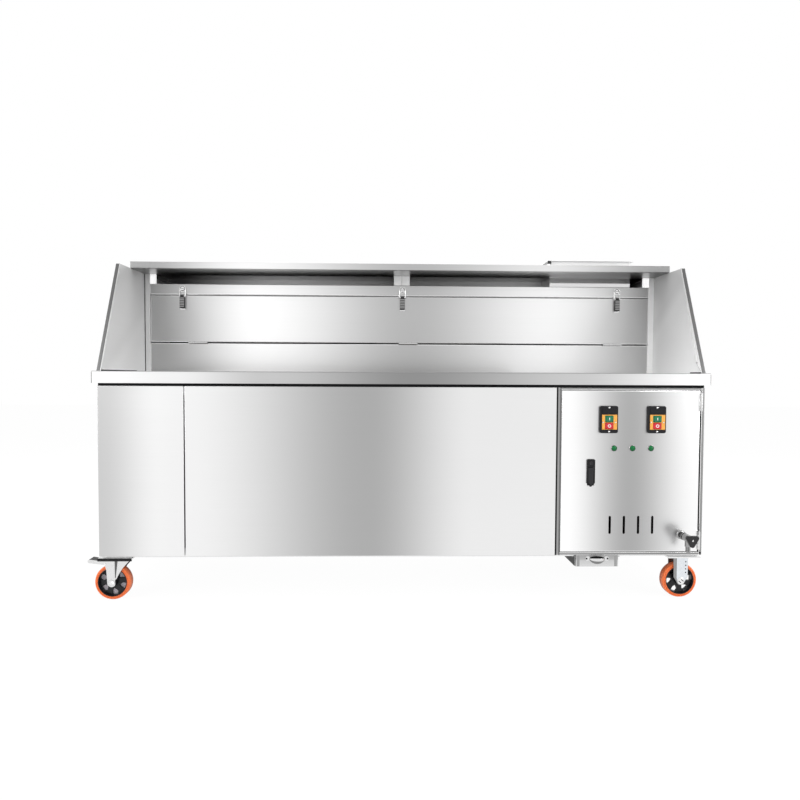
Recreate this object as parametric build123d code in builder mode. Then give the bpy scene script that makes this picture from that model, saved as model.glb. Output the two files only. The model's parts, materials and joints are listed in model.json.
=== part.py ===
from build123d import *
import math
import os

# Stainless smokeless barbecue cart. Millimetres, +Z up, the cook stands on the -Y side.
# The origin lies on the floor under the middle of the whole cart.

# Sheet metal, play and cuts shared by all pieces
sheet = 2.0
cut_overrun = 5.0
pin_play = 0.05
seat_gap = 0.3
weld_gap = 0.2
side_play = 1.0

# Counter with its turned-down edge and the fire opening in it
counter_length = 2000.0
counter_depth = 700.0
counter_height = 755.0
counter_edge = 39.0
counter_plate = 3.0
fire_length = 1320.0
fire_to_wall = 42.0
fire_from_left = 120.0
fire_from_front = 75.0

# Cabinet under the counter
counter_overhang = 12.5
panel_setback = 13.0
panel_depth = 18.0
panel_bottom = 154.0
shadow_gap = 9.0
left_panel_width = 274.0
panel_seam = 4.0
control_width = 487.0
control_seam = 1.5
cabinet_back_inset = 10.0
frame_tube = 30.0
top_rail_height = 75.0
cross_spacing = 480.0
cable_entry_radius = 11.0
cable_entry_from_right = 120.0
cable_entry_height = 260.0

# Firebox hung under the counter, its charcoal grate and the two grill grates
firebox_wall = 2.0
firebox_clear = 8.0
firebox_flange = 12.0
firebox_depth = 190.0
firebox_shoulder = 112.0
firebox_taper = 60.0
ledge_width = 16.0
ledge_drop = 20.0
grate_gap = 2.0
grate_bar = 8.0
grate_bar_height = 6.0
rod_radius = 3.0
rod_pitch = 20.0
charcoal_plate = 4.0
charcoal_slot = 9.0
charcoal_pitch = 27.0
charcoal_margin = 25.0

# Hood behind and above the counter
hood_depth = 293.0
band_height = 110.0
flap_height = 177.5
flap_depth = 12.0
flap_top_gap = 2.5
rail_height = 41.0
rail_return = 22.0
slot_height = 36.0
post_width = 20.5
centre_post_width = 29.5
centre_post_seam = 1.5
centre_post_depth = 16.0
canopy_overhang = 130.0
canopy_height = 24.5
canopy_end_overlap = 3.0
hood_ledge = 18.0

# Side shields
shield_inset = 21.5
shield_flange = 13.5
shield_toe = 18.5
shield_lean = 163.0
bolt_radius = 3.0
bolt_play = 0.2
bolt_head_radius = 5.5
bolt_head_height = 4.0
bolts_per_shield = 4
bolt_end_margin = 60.0
thumb_radius = 8.0
thumb_length = 17.0
thumb_from_toe = 36.0
thumb_height = 36.0

# Exhaust stack, filters and fan behind the flap
stack_width = 332.0
stack_depth = 126.0
stack_from_right = 58.0
stack_rise = 65.5
stack_length = 186.0
stack_flange = 12.0
stack_hole_radius = 2.75
filter_count = 3
filter_height = 16.0
filter_slot = 19.0
filter_pitch = 24.0
filter_border = 18.0
fan_drop = 140.0
volute_radius = 96.0
inlet_radius = 62.0
impeller_radius = 74.0
impeller_disc = 3.0
impeller_gap = 14.0
impeller_hub_radius = 16.0
blade_count = 16
blade_length = 22.0
blade_thickness = 2.0
shaft_radius = 6.0
motor_radius = 48.0
motor_length = 100.0
motor_standoff = 34.0
motor_foot_width = 110.0
motor_foot_height = 8.0

# Hinges of the flap and the control door
leaf_thickness = 1.5
leaf_gap = 1.0
leaf_depth = 11.0
barrel_radius = 4.0
hinge_pin_radius = 1.8
flap_hinge_length = 72.0
flap_hinge_shares = (-0.388, 0.0125, 0.408)
door_hinge_length = 60.0
door_hinge_margin = 8.0

# Draw latches between the flap and the rail
latch_shares = (-0.417, 0.00125, 0.416)
latch_width = 14.0
latch_base_height = 50.0
latch_pivot_drop = 4.0
latch_pivot_stand = 6.5
lever_length = 46.0
lever_thickness = 3.0
lever_barrel_radius = 4.0
latch_pin_radius = 1.8
ear_thickness = 1.6
bail_radius = 1.5
bail_bend = 3.0
keeper_height = 22.0
keeper_shelf = 5.0
keeper_reach = 11.0
keeper_lift = 12.0
keeper_shelf_lift = 4.0

# Control door and its frame
stile_width = 12.0
hinge_stile_width = 10.5
frame_rail_top = 7.0
frame_rail_bottom = 9.5
door_gap = 1.5
door_depth = 16.0

# Start and stop switches, measured from the door's left and top edges
switch_places = (154.0, 312.5)
switch_drop = 95.5
switch_width = 60.0
switch_height = 89.0
switch_plate = 9.0
switch_body_width = 50.0
switch_body_height = 70.0
switch_body_depth = 34.0
button_width = 22.0
button_height = 20.0
button_split = 3.0
button_proud = 4.0
button_travel = 3.0
button_block_drop = 9.0
button_pocket = 13.0

# Signal lamps
lamp_places = (174.0, 236.0, 296.0)
lamp_drop = 190.0
bezel_radius = 10.5
bezel_height = 4.0
lens_radius = 7.5
lens_height = 7.0
lens_round = 3.0
lens_seat = 8.0
lamp_barrel_radius = 8.5
lamp_barrel_length = 24.0

# Flush lever lock
lock_place = 98.5
lock_drop = 271.5
lock_width = 31.0
lock_height = 91.0
lock_plate = 5.0
lock_body_depth = 22.0
lock_wall = 4.0
lever_lock_width = 19.0
lever_lock_length = 58.0
lever_lock_pocket = 7.0
lever_lock_gap = 1.5
lever_point_share = 0.5
lock_pin_radius = 1.5
lock_button_radius = 6.0
lock_button_drop = 13.0
lock_button_proud = 2.0
lock_button_pocket = 12.0
lock_button_travel = 3.0

# Vent slots in the door, measured from its left and bottom edges
vent_places = (164.5, 211.5, 259.0, 306.0)
vent_rise = 89.5
vent_width = 8.0
vent_height = 60.0

# Drain tap, measured from the door's left and bottom edges
tap_place = 403.0
tap_rise = 56.5
tap_reach = 84.0
tap_nipple_radius = 9.0
tap_rose_radius = 15.0
tap_rose = 4.0
tap_body_radius = 12.5
tap_body_start = 32.0
tap_body_length = 34.0
tap_spout_at = 50.0
tap_spout_radius = 8.0
tap_neck_radius = 10.0
tap_bore_radius = 5.5
tap_spout_drop = 44.0
tap_thread_length = 16.0
tap_spindle_radius = 4.0
tap_tail_length = 20.0
tap_nut_radius = 14.0
tap_nut = 6.0
tap_handle_span = 23.0
tap_handle_lobe = 8.0
tap_handle_thickness = 11.0

# Grease drawer under the control side
drawer_from_control = 68.5
drawer_width = 142.0
drawer_front_height = 39.0
drawer_front_setback = 19.0
drawer_box_height = 26.0
drawer_box_depth = 260.0
drawer_wall = 1.5
drawer_top_gap = 1.0
runner_lip = 9.0
pull_half_length = 27.5
pull_radius = 18.0
pull_wall = 1.5
pull_sweep = 105.0
pull_ear_radius = 8.0
pull_drop = 12.0

# Casters
caster_height = 146.0
wheel_radius = 58.0
tyre_width = 32.0
tyre_depth = 13.0
tyre_round = 5.0
hub_width = 36.0
rim_depth = 6.0
hub_web = 10.0
hub_boss_radius = 14.0
hub_windows = 6
window_share = 0.62
caster_trail = 20.0
caster_from_front = 64.0
left_caster_inset = 46.5
right_caster_inset = 55.0
caster_plate_length = 110.0
caster_plate_width = 92.0
caster_plate = 5.0
race_radius = 32.0
race_height = 8.5
kingpin_radius = 6.0
kingpin_head_radius = 10.0
kingpin_head = 3.5
yoke_plate = 5.0
yoke_front = 36.0
yoke_back = 46.0
fork_clear = 4.0
fork_leg = 3.0
fork_end_radius = 14.0
fixed_leg_half = 25.0
fixed_leg_end_radius = 17.0
fork_top = 20.0
axle_radius = 6.0
axle_head = 4.0
axle_head_radius = 9.0
pedal_pivot_back = 40.0
pedal_pivot_drop = 11.0
pedal_pin_radius = 3.0
pedal_barrel_radius = 5.5
pedal_reach = 99.0
pedal_tip_radius = 6.0
pedal_rise = 7.0
pedal_side_gap = 2.0

# Places worked out from the sizes above
counter_half = counter_length / 2
cabinet_half = counter_half - counter_overhang
centre_x = (cabinet_half - left_caster_inset + pedal_reach - counter_half) / 2
counter_front = (tap_reach - panel_setback - counter_depth) / 2
counter_back = counter_front + counter_depth
counter_left = centre_x - counter_half
counter_right = centre_x + counter_half
plate_bottom = counter_height - counter_plate
cabinet_left = centre_x - cabinet_half
cabinet_right = centre_x + cabinet_half
cabinet_back = counter_back - cabinet_back_inset
panel_front = counter_front + panel_setback
panel_back = panel_front + panel_depth
panel_top = counter_height - counter_edge - shadow_gap
frame_bottom = caster_height
frame_top = frame_bottom + frame_tube
frame_left = cabinet_left + sheet
frame_right = cabinet_right - sheet
frame_back = cabinet_back - sheet
control_left = cabinet_right - control_width
fire_left = counter_left + fire_from_left
fire_right = fire_left + fire_length
wall_front = counter_back - hood_depth
fire_front = counter_front + fire_from_front
fire_back = wall_front - fire_to_wall

# Height and depth lines of the hood
band_top = counter_height + band_height
hinge_gap = leaf_gap + 2 * leaf_thickness
flap_axis_z = band_top + hinge_gap / 2
flap_axis_y = wall_front - barrel_radius - seat_gap
flap_bottom = band_top + hinge_gap
flap_top = flap_bottom + flap_height
rail_bottom = flap_top + flap_top_gap
rail_top = rail_bottom + rail_height
canopy_bottom = rail_top + slot_height
canopy_top = canopy_bottom + canopy_height
canopy_front = wall_front - canopy_overhang
shield_left = counter_left + shield_inset
shield_right = counter_right - shield_inset
wall_left = shield_left + post_width
wall_right = shield_right - post_width
stack_right = counter_right - stack_from_right
stack_left = stack_right - stack_width
stack_back = cabinet_back - 2 * sheet
stack_front = stack_back - stack_depth
stack_top = canopy_top + stack_rise
stack_foot = stack_top - stack_length

# Edges of the control door and the drawer
door_left = control_left + stile_width + door_gap
door_right = cabinet_right - hinge_stile_width - hinge_gap
door_bottom = panel_bottom + frame_rail_bottom + door_gap
door_top = panel_top - frame_rail_top - door_gap
door_axis_x = door_right + hinge_gap / 2
door_axis_y = panel_front - barrel_radius - seat_gap
drawer_left = control_left + drawer_from_control
drawer_right = drawer_left + drawer_width
drawer_front = counter_front + drawer_front_setback
drawer_top = panel_bottom - drawer_top_gap
drawer_bottom = drawer_top - drawer_front_height
box_bottom = drawer_bottom + seat_gap
runner_top = frame_bottom - weld_gap

# Caster places
front_caster_y = counter_front + caster_from_front
rear_caster_y = counter_back - caster_from_front
left_caster_x = cabinet_left + left_caster_inset
right_caster_x = cabinet_right - right_caster_inset
plate_under = caster_height - caster_plate
yoke_top = plate_under - race_height - seat_gap
leg_inner = tyre_width / 2 + fork_clear
leg_outer = leg_inner + fork_leg

os.makedirs("parts", exist_ok=True)


def save(builder, name):
    """Label a finished piece and write it under its own name."""
    builder.part.label = name
    export_step(builder.part, f"parts/{name}.step")


def inset(span, amount):
    """Limits of a span drawn in by the same amount at both ends."""
    return (span[0] + amount, span[1] - amount)


def about(centre, width):
    """Limits of a span of the given width about its centre."""
    return (centre - width / 2, centre + width / 2)


def block(x, y, z, mode=Mode.ADD):
    """Block between the low and high limits on each axis."""
    with Locations(((x[0] + x[1]) / 2, (y[0] + y[1]) / 2, (z[0] + z[1]) / 2)):
        Box(x[1] - x[0], y[1] - y[0], z[1] - z[0], mode=mode)


def round_bar(start, direction, radius, length, mode=Mode.ADD):
    """Round bar that runs from its start point in the given direction."""
    with Locations(Plane(origin=start, z_dir=direction)):
        Cylinder(radius, length, align=(Align.CENTER, Align.CENTER, Align.MIN), mode=mode)


def tube_along_x(x, y, z):
    """Rectangular tube along X, open at both ends."""
    block(x, y, z)
    block(x, inset(y, sheet), inset(z, sheet), Mode.SUBTRACT)


def tube_along_y(x, y, z):
    """Rectangular tube along Y, open at both ends."""
    block(x, y, z)
    block(inset(x, sheet), y, inset(z, sheet), Mode.SUBTRACT)


def tube_along_z(x, y, z):
    """Rectangular tube along Z, open at both ends."""
    block(x, y, z)
    block(inset(x, sheet), inset(y, sheet), z, Mode.SUBTRACT)


def folded_panel(x, y, z):
    """Sheet metal panel with its four edges folded back."""
    block(x, y, z)
    block(inset(x, sheet), (y[0] + sheet, y[1] + cut_overrun), inset(z, sheet), Mode.SUBTRACT)


# Base frame of square tube with the drawer's runners
with BuildPart() as base_frame:
    frame_x = (frame_left, frame_right)
    frame_z = (frame_bottom, frame_top)
    tube_along_x(frame_x, (panel_back, panel_back + frame_tube), frame_z)
    tube_along_x(frame_x, (frame_back - frame_tube, frame_back), frame_z)
    between_y = inset((panel_back + frame_tube, frame_back - frame_tube), weld_gap)
    cross_places = [frame_left + frame_tube / 2, frame_right - frame_tube / 2]
    cross_places += [drawer_left - frame_tube / 2, drawer_right + frame_tube / 2]
    cross_count = int((drawer_left - frame_left) / cross_spacing)
    for step in range(1, cross_count):
        cross_places.append(frame_left + step * (drawer_left - frame_left) / cross_count)
    for place in cross_places:
        tube_along_y(about(place, frame_tube), between_y, frame_z)
    top_rail_y = (panel_back, panel_back + panel_depth)
    tube_along_x(frame_x, top_rail_y, (plate_bottom - top_rail_height, plate_bottom))
    runner_y = (panel_back, drawer_front + drawer_box_depth)
    for web_out, side in ((drawer_left, 1), (drawer_right, -1)):
        lip_x = sorted((web_out, web_out + side * runner_lip))
        web_x = sorted((web_out, web_out + side * sheet))
        foot_x = sorted((web_out, web_out - side * runner_lip))
        block(lip_x, runner_y, (drawer_bottom - sheet, drawer_bottom))
        block(web_x, runner_y, (drawer_bottom - sheet, runner_top))
        block(foot_x, runner_y, (runner_top - sheet, runner_top))
save(base_frame, "base_frame")

with BuildPart() as floor_panel:
    block((frame_left, frame_right), (panel_back, frame_back), (frame_top, frame_top + sheet))
save(floor_panel, "floor_panel")

with BuildPart() as cabinet_end_panels:
    for outer, inner in ((cabinet_left, frame_left), (frame_right, cabinet_right)):
        block((outer, inner), (panel_back, cabinet_back), (panel_bottom, plate_bottom))
save(cabinet_end_panels, "cabinet_end_panels")

cable_entry = (frame_right - cable_entry_from_right, frame_back - cut_overrun, cable_entry_height)
with BuildPart() as cabinet_back_panel:
    block((frame_left, frame_right), (frame_back, cabinet_back), (panel_bottom, plate_bottom))
    round_bar(cable_entry, (0, 1, 0), cable_entry_radius, sheet + 2 * cut_overrun, Mode.SUBTRACT)
save(cabinet_back_panel, "cabinet_back_panel")

# Front panels
left_seam = cabinet_left + left_panel_width
with BuildPart() as left_front_panel:
    folded_panel((cabinet_left, left_seam), (panel_front, panel_back), (panel_bottom, panel_top))
save(left_front_panel, "left_front_panel")

with BuildPart() as centre_front_panel:
    centre_span = (left_seam + panel_seam, control_left - control_seam)
    folded_panel(centre_span, (panel_front, panel_back), (panel_bottom, panel_top))
save(centre_front_panel, "centre_front_panel")

# Frame round the control door: two channel stiles and two angle rails
with BuildPart() as control_frame:
    for x in ((control_left, control_left + stile_width), (cabinet_right - hinge_stile_width, cabinet_right)):
        block(x, (panel_front, panel_back), (panel_bottom, panel_top))
        hollow_y = (panel_front + sheet, panel_back + cut_overrun)
        block(inset(x, sheet), hollow_y, (panel_bottom, panel_top), Mode.SUBTRACT)
    rail_x = inset((control_left + stile_width, cabinet_right - hinge_stile_width), weld_gap)
    for face_z, fold_z in (
        ((panel_bottom, panel_bottom + frame_rail_bottom), (panel_bottom, panel_bottom + sheet)),
        ((panel_top - frame_rail_top, panel_top), (panel_top - sheet, panel_top)),
    ):
        block(rail_x, (panel_front, panel_front + sheet), face_z)
        block(rail_x, (panel_front, panel_back), fold_z)
save(control_frame, "control_frame")

with BuildPart() as partition:
    partition_x = (control_left - sheet, control_left)
    block(partition_x, (panel_back + panel_depth, frame_back), (frame_top + sheet, plate_bottom))
save(partition, "partition")

# Counter plate with the fire opening, and its four turned-down edges
bolt_step = (cabinet_back - counter_front - shield_toe - 2 * bolt_end_margin) / (bolts_per_shield - 1)
bolt_y = [counter_front + shield_toe + bolt_end_margin + k * bolt_step for k in range(bolts_per_shield)]
bolt_x = (shield_left - (shield_flange + sheet) / 2, shield_right + (shield_flange + sheet) / 2)
bolt_places = [(x, y) for x in bolt_x for y in bolt_y]
counter_x = (counter_left, counter_right)
counter_y = (counter_front, counter_back)
with BuildPart() as counter:
    block(counter_x, counter_y, (plate_bottom, counter_height))
    block((fire_left, fire_right), (fire_front, fire_back), (plate_bottom, counter_height), Mode.SUBTRACT)
    for x, y in bolt_places:
        bolt_start = (x, y, plate_bottom - cut_overrun)
        bolt_hole = counter_plate + 2 * cut_overrun
        round_bar(bolt_start, (0, 0, 1), bolt_radius + bolt_play, bolt_hole, Mode.SUBTRACT)
    edge_z = (counter_height - counter_edge, plate_bottom - weld_gap)
    for y in ((counter_front, counter_front + sheet), (counter_back - sheet, counter_back)):
        block(counter_x, y, edge_z)
    side_y = inset(counter_y, sheet + weld_gap)
    for x in ((counter_left, counter_left + sheet), (counter_right - sheet, counter_right)):
        block(x, side_y, edge_z)
save(counter, "counter")

# Firebox: a trough with upright upper walls, tapered lower walls, a bolting flange and two grate ledges
trough_front = fire_front - firebox_clear
trough_back = fire_back + firebox_clear
trough_left = fire_left - firebox_clear
trough_right = fire_right + firebox_clear
trough_bottom = plate_bottom - firebox_depth
shoulder_z = plate_bottom - firebox_shoulder
ledge_top = counter_height - ledge_drop


def trough_outline(wall):
    """Cross-section of the trough, swollen outwards by its wall."""
    Polygon(
        (trough_front - wall, plate_bottom),
        (trough_front - wall, shoulder_z),
        (trough_front + firebox_taper - wall, trough_bottom - wall),
        (trough_back - firebox_taper + wall, trough_bottom - wall),
        (trough_back + wall, shoulder_z),
        (trough_back + wall, plate_bottom),
        align=None,
    )


with BuildPart() as firebox:
    with BuildSketch(Plane.YZ.offset(trough_left - firebox_wall)):
        trough_outline(firebox_wall)
    extrude(amount=trough_right - trough_left + 2 * firebox_wall)
    flange_x = inset((trough_left, trough_right), -firebox_wall - firebox_flange)
    flange_y = inset((trough_front, trough_back), -firebox_wall - firebox_flange)
    block(flange_x, flange_y, (plate_bottom - firebox_wall, plate_bottom))
    with BuildSketch(Plane.YZ.offset(trough_left)):
        trough_outline(0)
    extrude(amount=trough_right - trough_left, mode=Mode.SUBTRACT)
    ledge_z = (ledge_top - firebox_wall, ledge_top)
    block((trough_left, trough_right), (trough_front, trough_front + ledge_width), ledge_z)
    block((trough_left, trough_right), (trough_back - ledge_width, trough_back), ledge_z)
save(firebox, "firebox")

# Charcoal grate: slotted plate that sits where the walls start to taper
with BuildPart() as charcoal_grate:
    grate_x = inset((trough_left, trough_right), grate_gap)
    grate_y = inset((trough_front, trough_back), seat_gap)
    block(grate_x, grate_y, (shoulder_z, shoulder_z + charcoal_plate))
    slot_count = int((trough_right - trough_left - 2 * charcoal_margin) / charcoal_pitch)
    slot_length = (trough_back - trough_front) / 2 - charcoal_margin - charcoal_slot
    slot_row = (trough_back - trough_front) / 2 - charcoal_slot
    grate_middle = ((trough_left + trough_right) / 2, (trough_front + trough_back) / 2, shoulder_z)
    with Locations(grate_middle):
        with GridLocations(charcoal_pitch, slot_row, slot_count, 2):
            Box(charcoal_slot, slot_length, 2 * charcoal_plate + cut_overrun, mode=Mode.SUBTRACT)
save(charcoal_grate, "charcoal_grate")

# Two grill grates: round rods from front to back on two flat bars
grate_length = (fire_right - fire_left - 3 * grate_gap) / 2
rod_count = int((grate_length - grate_bar) / rod_pitch)
rod_y = inset((fire_front, fire_back), grate_gap)
rod_z = ledge_top + grate_bar_height
for grate_name, grate_left in (
    ("grill_grate_left", fire_left + grate_gap),
    ("grill_grate_right", fire_right - grate_gap - grate_length),
):
    with BuildPart() as grill_grate:
        span = (grate_left, grate_left + grate_length)
        for y in ((rod_y[0], rod_y[0] + grate_bar), (rod_y[1] - grate_bar, rod_y[1])):
            block(span, y, (ledge_top, ledge_top + grate_bar_height))
        for x in ((span[0], span[0] + grate_bar), (span[1] - grate_bar, span[1])):
            block(x, rod_y, (ledge_top, ledge_top + grate_bar_height))
        rod_plane = Plane((sum(span) / 2, sum(rod_y) / 2, rod_z), x_dir=(1, 0, 0), z_dir=(0, 1, 0))
        with Locations(rod_plane):
            with GridLocations(rod_pitch, rod_pitch, rod_count, 1):
                Cylinder(rod_radius, rod_y[1] - rod_y[0])
    save(grill_grate, grate_name)

# Rear wall of the hood: lower band, rail with the filter shelf, and posts
wall_x = (wall_left, wall_right)
with BuildPart() as lower_rear_band:
    block(wall_x, (wall_front, wall_front + sheet), (counter_height, band_top))
    block(wall_x, (wall_front, wall_front + rail_return), (band_top - sheet, band_top))
    block(wall_x, (wall_front, wall_front + rail_return), (counter_height, counter_height + sheet))
save(lower_rear_band, "lower_rear_band")

with BuildPart() as upper_rail:
    block(wall_x, (wall_front, wall_front + sheet), (rail_bottom, rail_top))
    for z in ((rail_bottom, rail_bottom + sheet), (rail_top - sheet, rail_top)):
        block(wall_x, (wall_front, wall_front + rail_return), z)
save(upper_rail, "upper_rail")

with BuildPart() as hood_posts:
    post_z = (counter_height, canopy_bottom)
    for x in ((shield_left, wall_left), (wall_right, shield_right)):
        tube_along_z(x, (wall_front, wall_front + post_width), post_z)
    post_seat = (wall_front, wall_front + centre_post_depth)
    for x in (
        (centre_x - centre_post_seam / 2 - centre_post_width, centre_x - centre_post_seam / 2),
        (centre_x + centre_post_seam / 2, centre_x + centre_post_seam / 2 + centre_post_width),
    ):
        tube_along_z(x, post_seat, (rail_top, canopy_bottom))
save(hood_posts, "hood_posts")

# Back of the hood, with the ledge that carries the rear edge of the filters
filter_right = stack_left - rail_return
with BuildPart() as hood_back_panel:
    block((shield_left, shield_right), (frame_back, cabinet_back), (counter_height, canopy_bottom))
    ledge_y = (frame_back - hood_ledge, frame_back)
    block((wall_left, filter_right), ledge_y, (rail_bottom, rail_bottom + sheet))
save(hood_back_panel, "hood_back_panel")

# Canopy: folded box over the hood, open below behind the slot, with a cut-out for the stack
canopy_x = inset((shield_left, shield_right), -canopy_end_overlap)
canopy_y = (canopy_front, cabinet_back)
stack_x = (stack_left, stack_right)
stack_y = (stack_front, stack_back)
with BuildPart() as canopy:
    canopy_z = (canopy_bottom, canopy_top)
    block(canopy_x, canopy_y, canopy_z)
    block(inset(canopy_x, sheet), inset(canopy_y, sheet), inset(canopy_z, sheet), Mode.SUBTRACT)
    mouth_y = (wall_front + post_width, frame_back - hood_ledge)
    mouth_z = (canopy_bottom - cut_overrun, canopy_bottom + sheet)
    block((wall_left, wall_right), mouth_y, mouth_z, Mode.SUBTRACT)
    hole_z = (canopy_bottom - cut_overrun, canopy_top + cut_overrun)
    block(inset(stack_x, -weld_gap), inset(stack_y, -weld_gap), hole_z, Mode.SUBTRACT)
save(canopy, "canopy")


def shield_outline(fold, back):
    """Side view of a shield, drawn in by the fold along its toe, front and top."""
    toe_y = counter_front + shield_toe
    height = canopy_bottom - counter_height
    drawn = fold * math.hypot(height, shield_lean) / height
    lean_share = shield_lean / height
    Polygon(
        (toe_y + drawn + fold * lean_share, counter_height + fold),
        (toe_y + shield_lean + drawn - fold * lean_share, canopy_bottom - fold),
        (back, canopy_bottom - fold),
        (back, counter_height + fold),
        align=None,
    )


# Side shields: a plate with its toe, front and top edges folded outwards
thumb_y = counter_front + shield_toe + thumb_from_toe
thumb_z = counter_height + thumb_height
for shield_name, plane_x, side in (("left_shield", shield_left, -1), ("right_shield", shield_right, 1)):
    with BuildPart() as shield:
        with BuildSketch(Plane.YZ.offset(plane_x)):
            shield_outline(0, cabinet_back)
        extrude(amount=side * shield_flange)
        with BuildSketch(Plane.YZ.offset(plane_x + side * sheet)):
            shield_outline(sheet, cabinet_back + cut_overrun)
        extrude(amount=side * shield_flange, mode=Mode.SUBTRACT)
        for x, y in bolt_places:
            bolt_start = (x, y, counter_height - cut_overrun)
            round_bar(bolt_start, (0, 0, 1), bolt_radius + bolt_play, sheet + 2 * cut_overrun, Mode.SUBTRACT)
        if side > 0:
            thumb_start = (plane_x - cut_overrun, thumb_y, thumb_z)
            thumb_hole = sheet + 2 * cut_overrun
            round_bar(thumb_start, (1, 0, 0), bolt_radius + bolt_play, thumb_hole, Mode.SUBTRACT)
    save(shield, shield_name)

# Hexagon bolts through the shields' toes, and the thumb screw on the right shield
with BuildPart() as shield_bolts:
    for x, y in bolt_places:
        round_bar((x, y, plate_bottom), (0, 0, 1), bolt_radius, counter_plate + sheet)
        with BuildSketch(Plane.XY.offset(counter_height + sheet)):
            with Locations((x, y)):
                RegularPolygon(bolt_head_radius, 6)
        extrude(amount=bolt_head_height)
    round_bar((shield_right, thumb_y, thumb_z), (1, 0, 0), bolt_radius, sheet)
    round_bar((shield_right + sheet, thumb_y, thumb_z), (1, 0, 0), thumb_radius, thumb_length)
save(shield_bolts, "shield_bolts")

# Exhaust stack with a drilled flange on top
flange_x = inset(stack_x, -stack_flange)
flange_y = inset(stack_y, -stack_flange)
with BuildPart() as exhaust_stack:
    block(stack_x, stack_y, (stack_foot, stack_top))
    block(flange_x, flange_y, (stack_top - sheet, stack_top))
    flue_z = (stack_foot - cut_overrun, stack_top + cut_overrun)
    block(inset(stack_x, sheet), inset(stack_y, sheet), flue_z, Mode.SUBTRACT)
    with Locations((sum(stack_x) / 2, sum(stack_y) / 2, stack_top)):
        with GridLocations(stack_width + stack_flange, stack_depth + stack_flange, 2, 2):
            Cylinder(stack_hole_radius, 2 * sheet + cut_overrun, mode=Mode.SUBTRACT)
save(exhaust_stack, "exhaust_stack")

# Baffle filters that lie across the hood under the slot
filter_length = (filter_right - wall_left - (filter_count - 1) * side_play) / filter_count
filter_y = inset((wall_front + sheet, frame_back), side_play)
filter_bottom = rail_bottom + sheet
with BuildPart() as grease_filters:
    for k in range(filter_count):
        left = wall_left + k * (filter_length + side_play)
        block((left, left + filter_length), filter_y, (filter_bottom, filter_bottom + filter_height))
        slot_count = int((filter_length - 2 * filter_border) / filter_pitch)
        with Locations((left + filter_length / 2, sum(filter_y) / 2, filter_bottom)):
            with GridLocations(filter_pitch, filter_pitch, slot_count, 1):
                Box(
                    filter_slot,
                    filter_y[1] - filter_y[0] - 2 * hood_ledge - 2 * filter_border,
                    2 * filter_height + cut_overrun,
                    mode=Mode.SUBTRACT,
                )
save(grease_filters, "grease_filters")

# Fan: volute housing under the stack, double-inlet impeller and foot-mounted motor
fan_y = stack_back - volute_radius
fan_z = stack_foot - fan_drop
fan_inlet = (stack_left - cut_overrun, fan_y, fan_z)


def volute_outline(wall, outlet_top):
    """Side view of the volute with its upward outlet, drawn in by the wall."""
    outlet = inset(stack_y, wall)
    with Locations((fan_y, fan_z)):
        Circle(volute_radius - wall)
    with Locations((sum(outlet) / 2, (fan_z + outlet_top) / 2)):
        Rectangle(outlet[1] - outlet[0], outlet_top - fan_z)


with BuildPart() as fan_housing:
    with BuildSketch(Plane.YZ.offset(stack_left)):
        volute_outline(0, stack_foot)
    extrude(amount=stack_width)
    with BuildSketch(Plane.YZ.offset(stack_left + sheet)):
        volute_outline(sheet, stack_foot + cut_overrun)
    extrude(amount=stack_width - 2 * sheet, mode=Mode.SUBTRACT)
    round_bar(fan_inlet, (1, 0, 0), inlet_radius, stack_width + 2 * cut_overrun, Mode.SUBTRACT)
save(fan_housing, "fan_housing")

impeller_x = inset(stack_x, sheet + impeller_gap)
motor_x = (stack_left - motor_standoff - motor_length, stack_left - motor_standoff)
with BuildPart() as fan_impeller:
    shaft_start = (sum(motor_x) / 2, fan_y, fan_z)
    round_bar(shaft_start, (1, 0, 0), shaft_radius, impeller_x[1] - sum(motor_x) / 2)
    hub_start = (impeller_x[0], fan_y, fan_z)
    round_bar(hub_start, (1, 0, 0), impeller_hub_radius, impeller_x[1] - impeller_x[0])
    disc_start = ((sum(impeller_x) - impeller_disc) / 2, fan_y, fan_z)
    round_bar(disc_start, (1, 0, 0), impeller_radius, impeller_disc)
    with BuildSketch(Plane(origin=hub_start, x_dir=(0, 1, 0), z_dir=(1, 0, 0))):
        with PolarLocations(impeller_radius - blade_length / 2, blade_count):
            Rectangle(blade_length, blade_thickness)
    extrude(amount=impeller_x[1] - impeller_x[0])
save(fan_impeller, "fan_impeller")

with BuildPart() as fan_motor:
    round_bar((motor_x[0], fan_y, fan_z), (1, 0, 0), motor_radius, motor_length)
    foot_z = (counter_height, counter_height + motor_foot_height)
    block(motor_x, about(fan_y, motor_foot_width), foot_z)
    block(motor_x, about(fan_y, motor_radius), (counter_height, fan_z))
    bore_start = (motor_x[0] - cut_overrun, fan_y, fan_z)
    bore_length = motor_length + 2 * cut_overrun
    round_bar(bore_start, (1, 0, 0), shaft_radius + pin_play, bore_length, Mode.SUBTRACT)
save(fan_motor, "fan_motor")


def fixed_leaf(length):
    """Hinge half with its pin; the axis is local Z, the fixed side +X and the panel's depth +Y."""
    third = length / 3
    leaf_x = (leaf_gap / 2, leaf_gap / 2 + leaf_thickness)
    leaf_start = barrel_radius + seat_gap
    round_bar((0, 0, 0), (0, 0, 1), hinge_pin_radius, length)
    for z in ((0, third - seat_gap), (length - third + seat_gap, length)):
        round_bar((0, 0, z[0]), (0, 0, 1), barrel_radius, z[1] - z[0])
        block(leaf_x, (hinge_pin_radius, leaf_start), z)
    block(leaf_x, (leaf_start, leaf_start + leaf_depth), (0, length))


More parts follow.
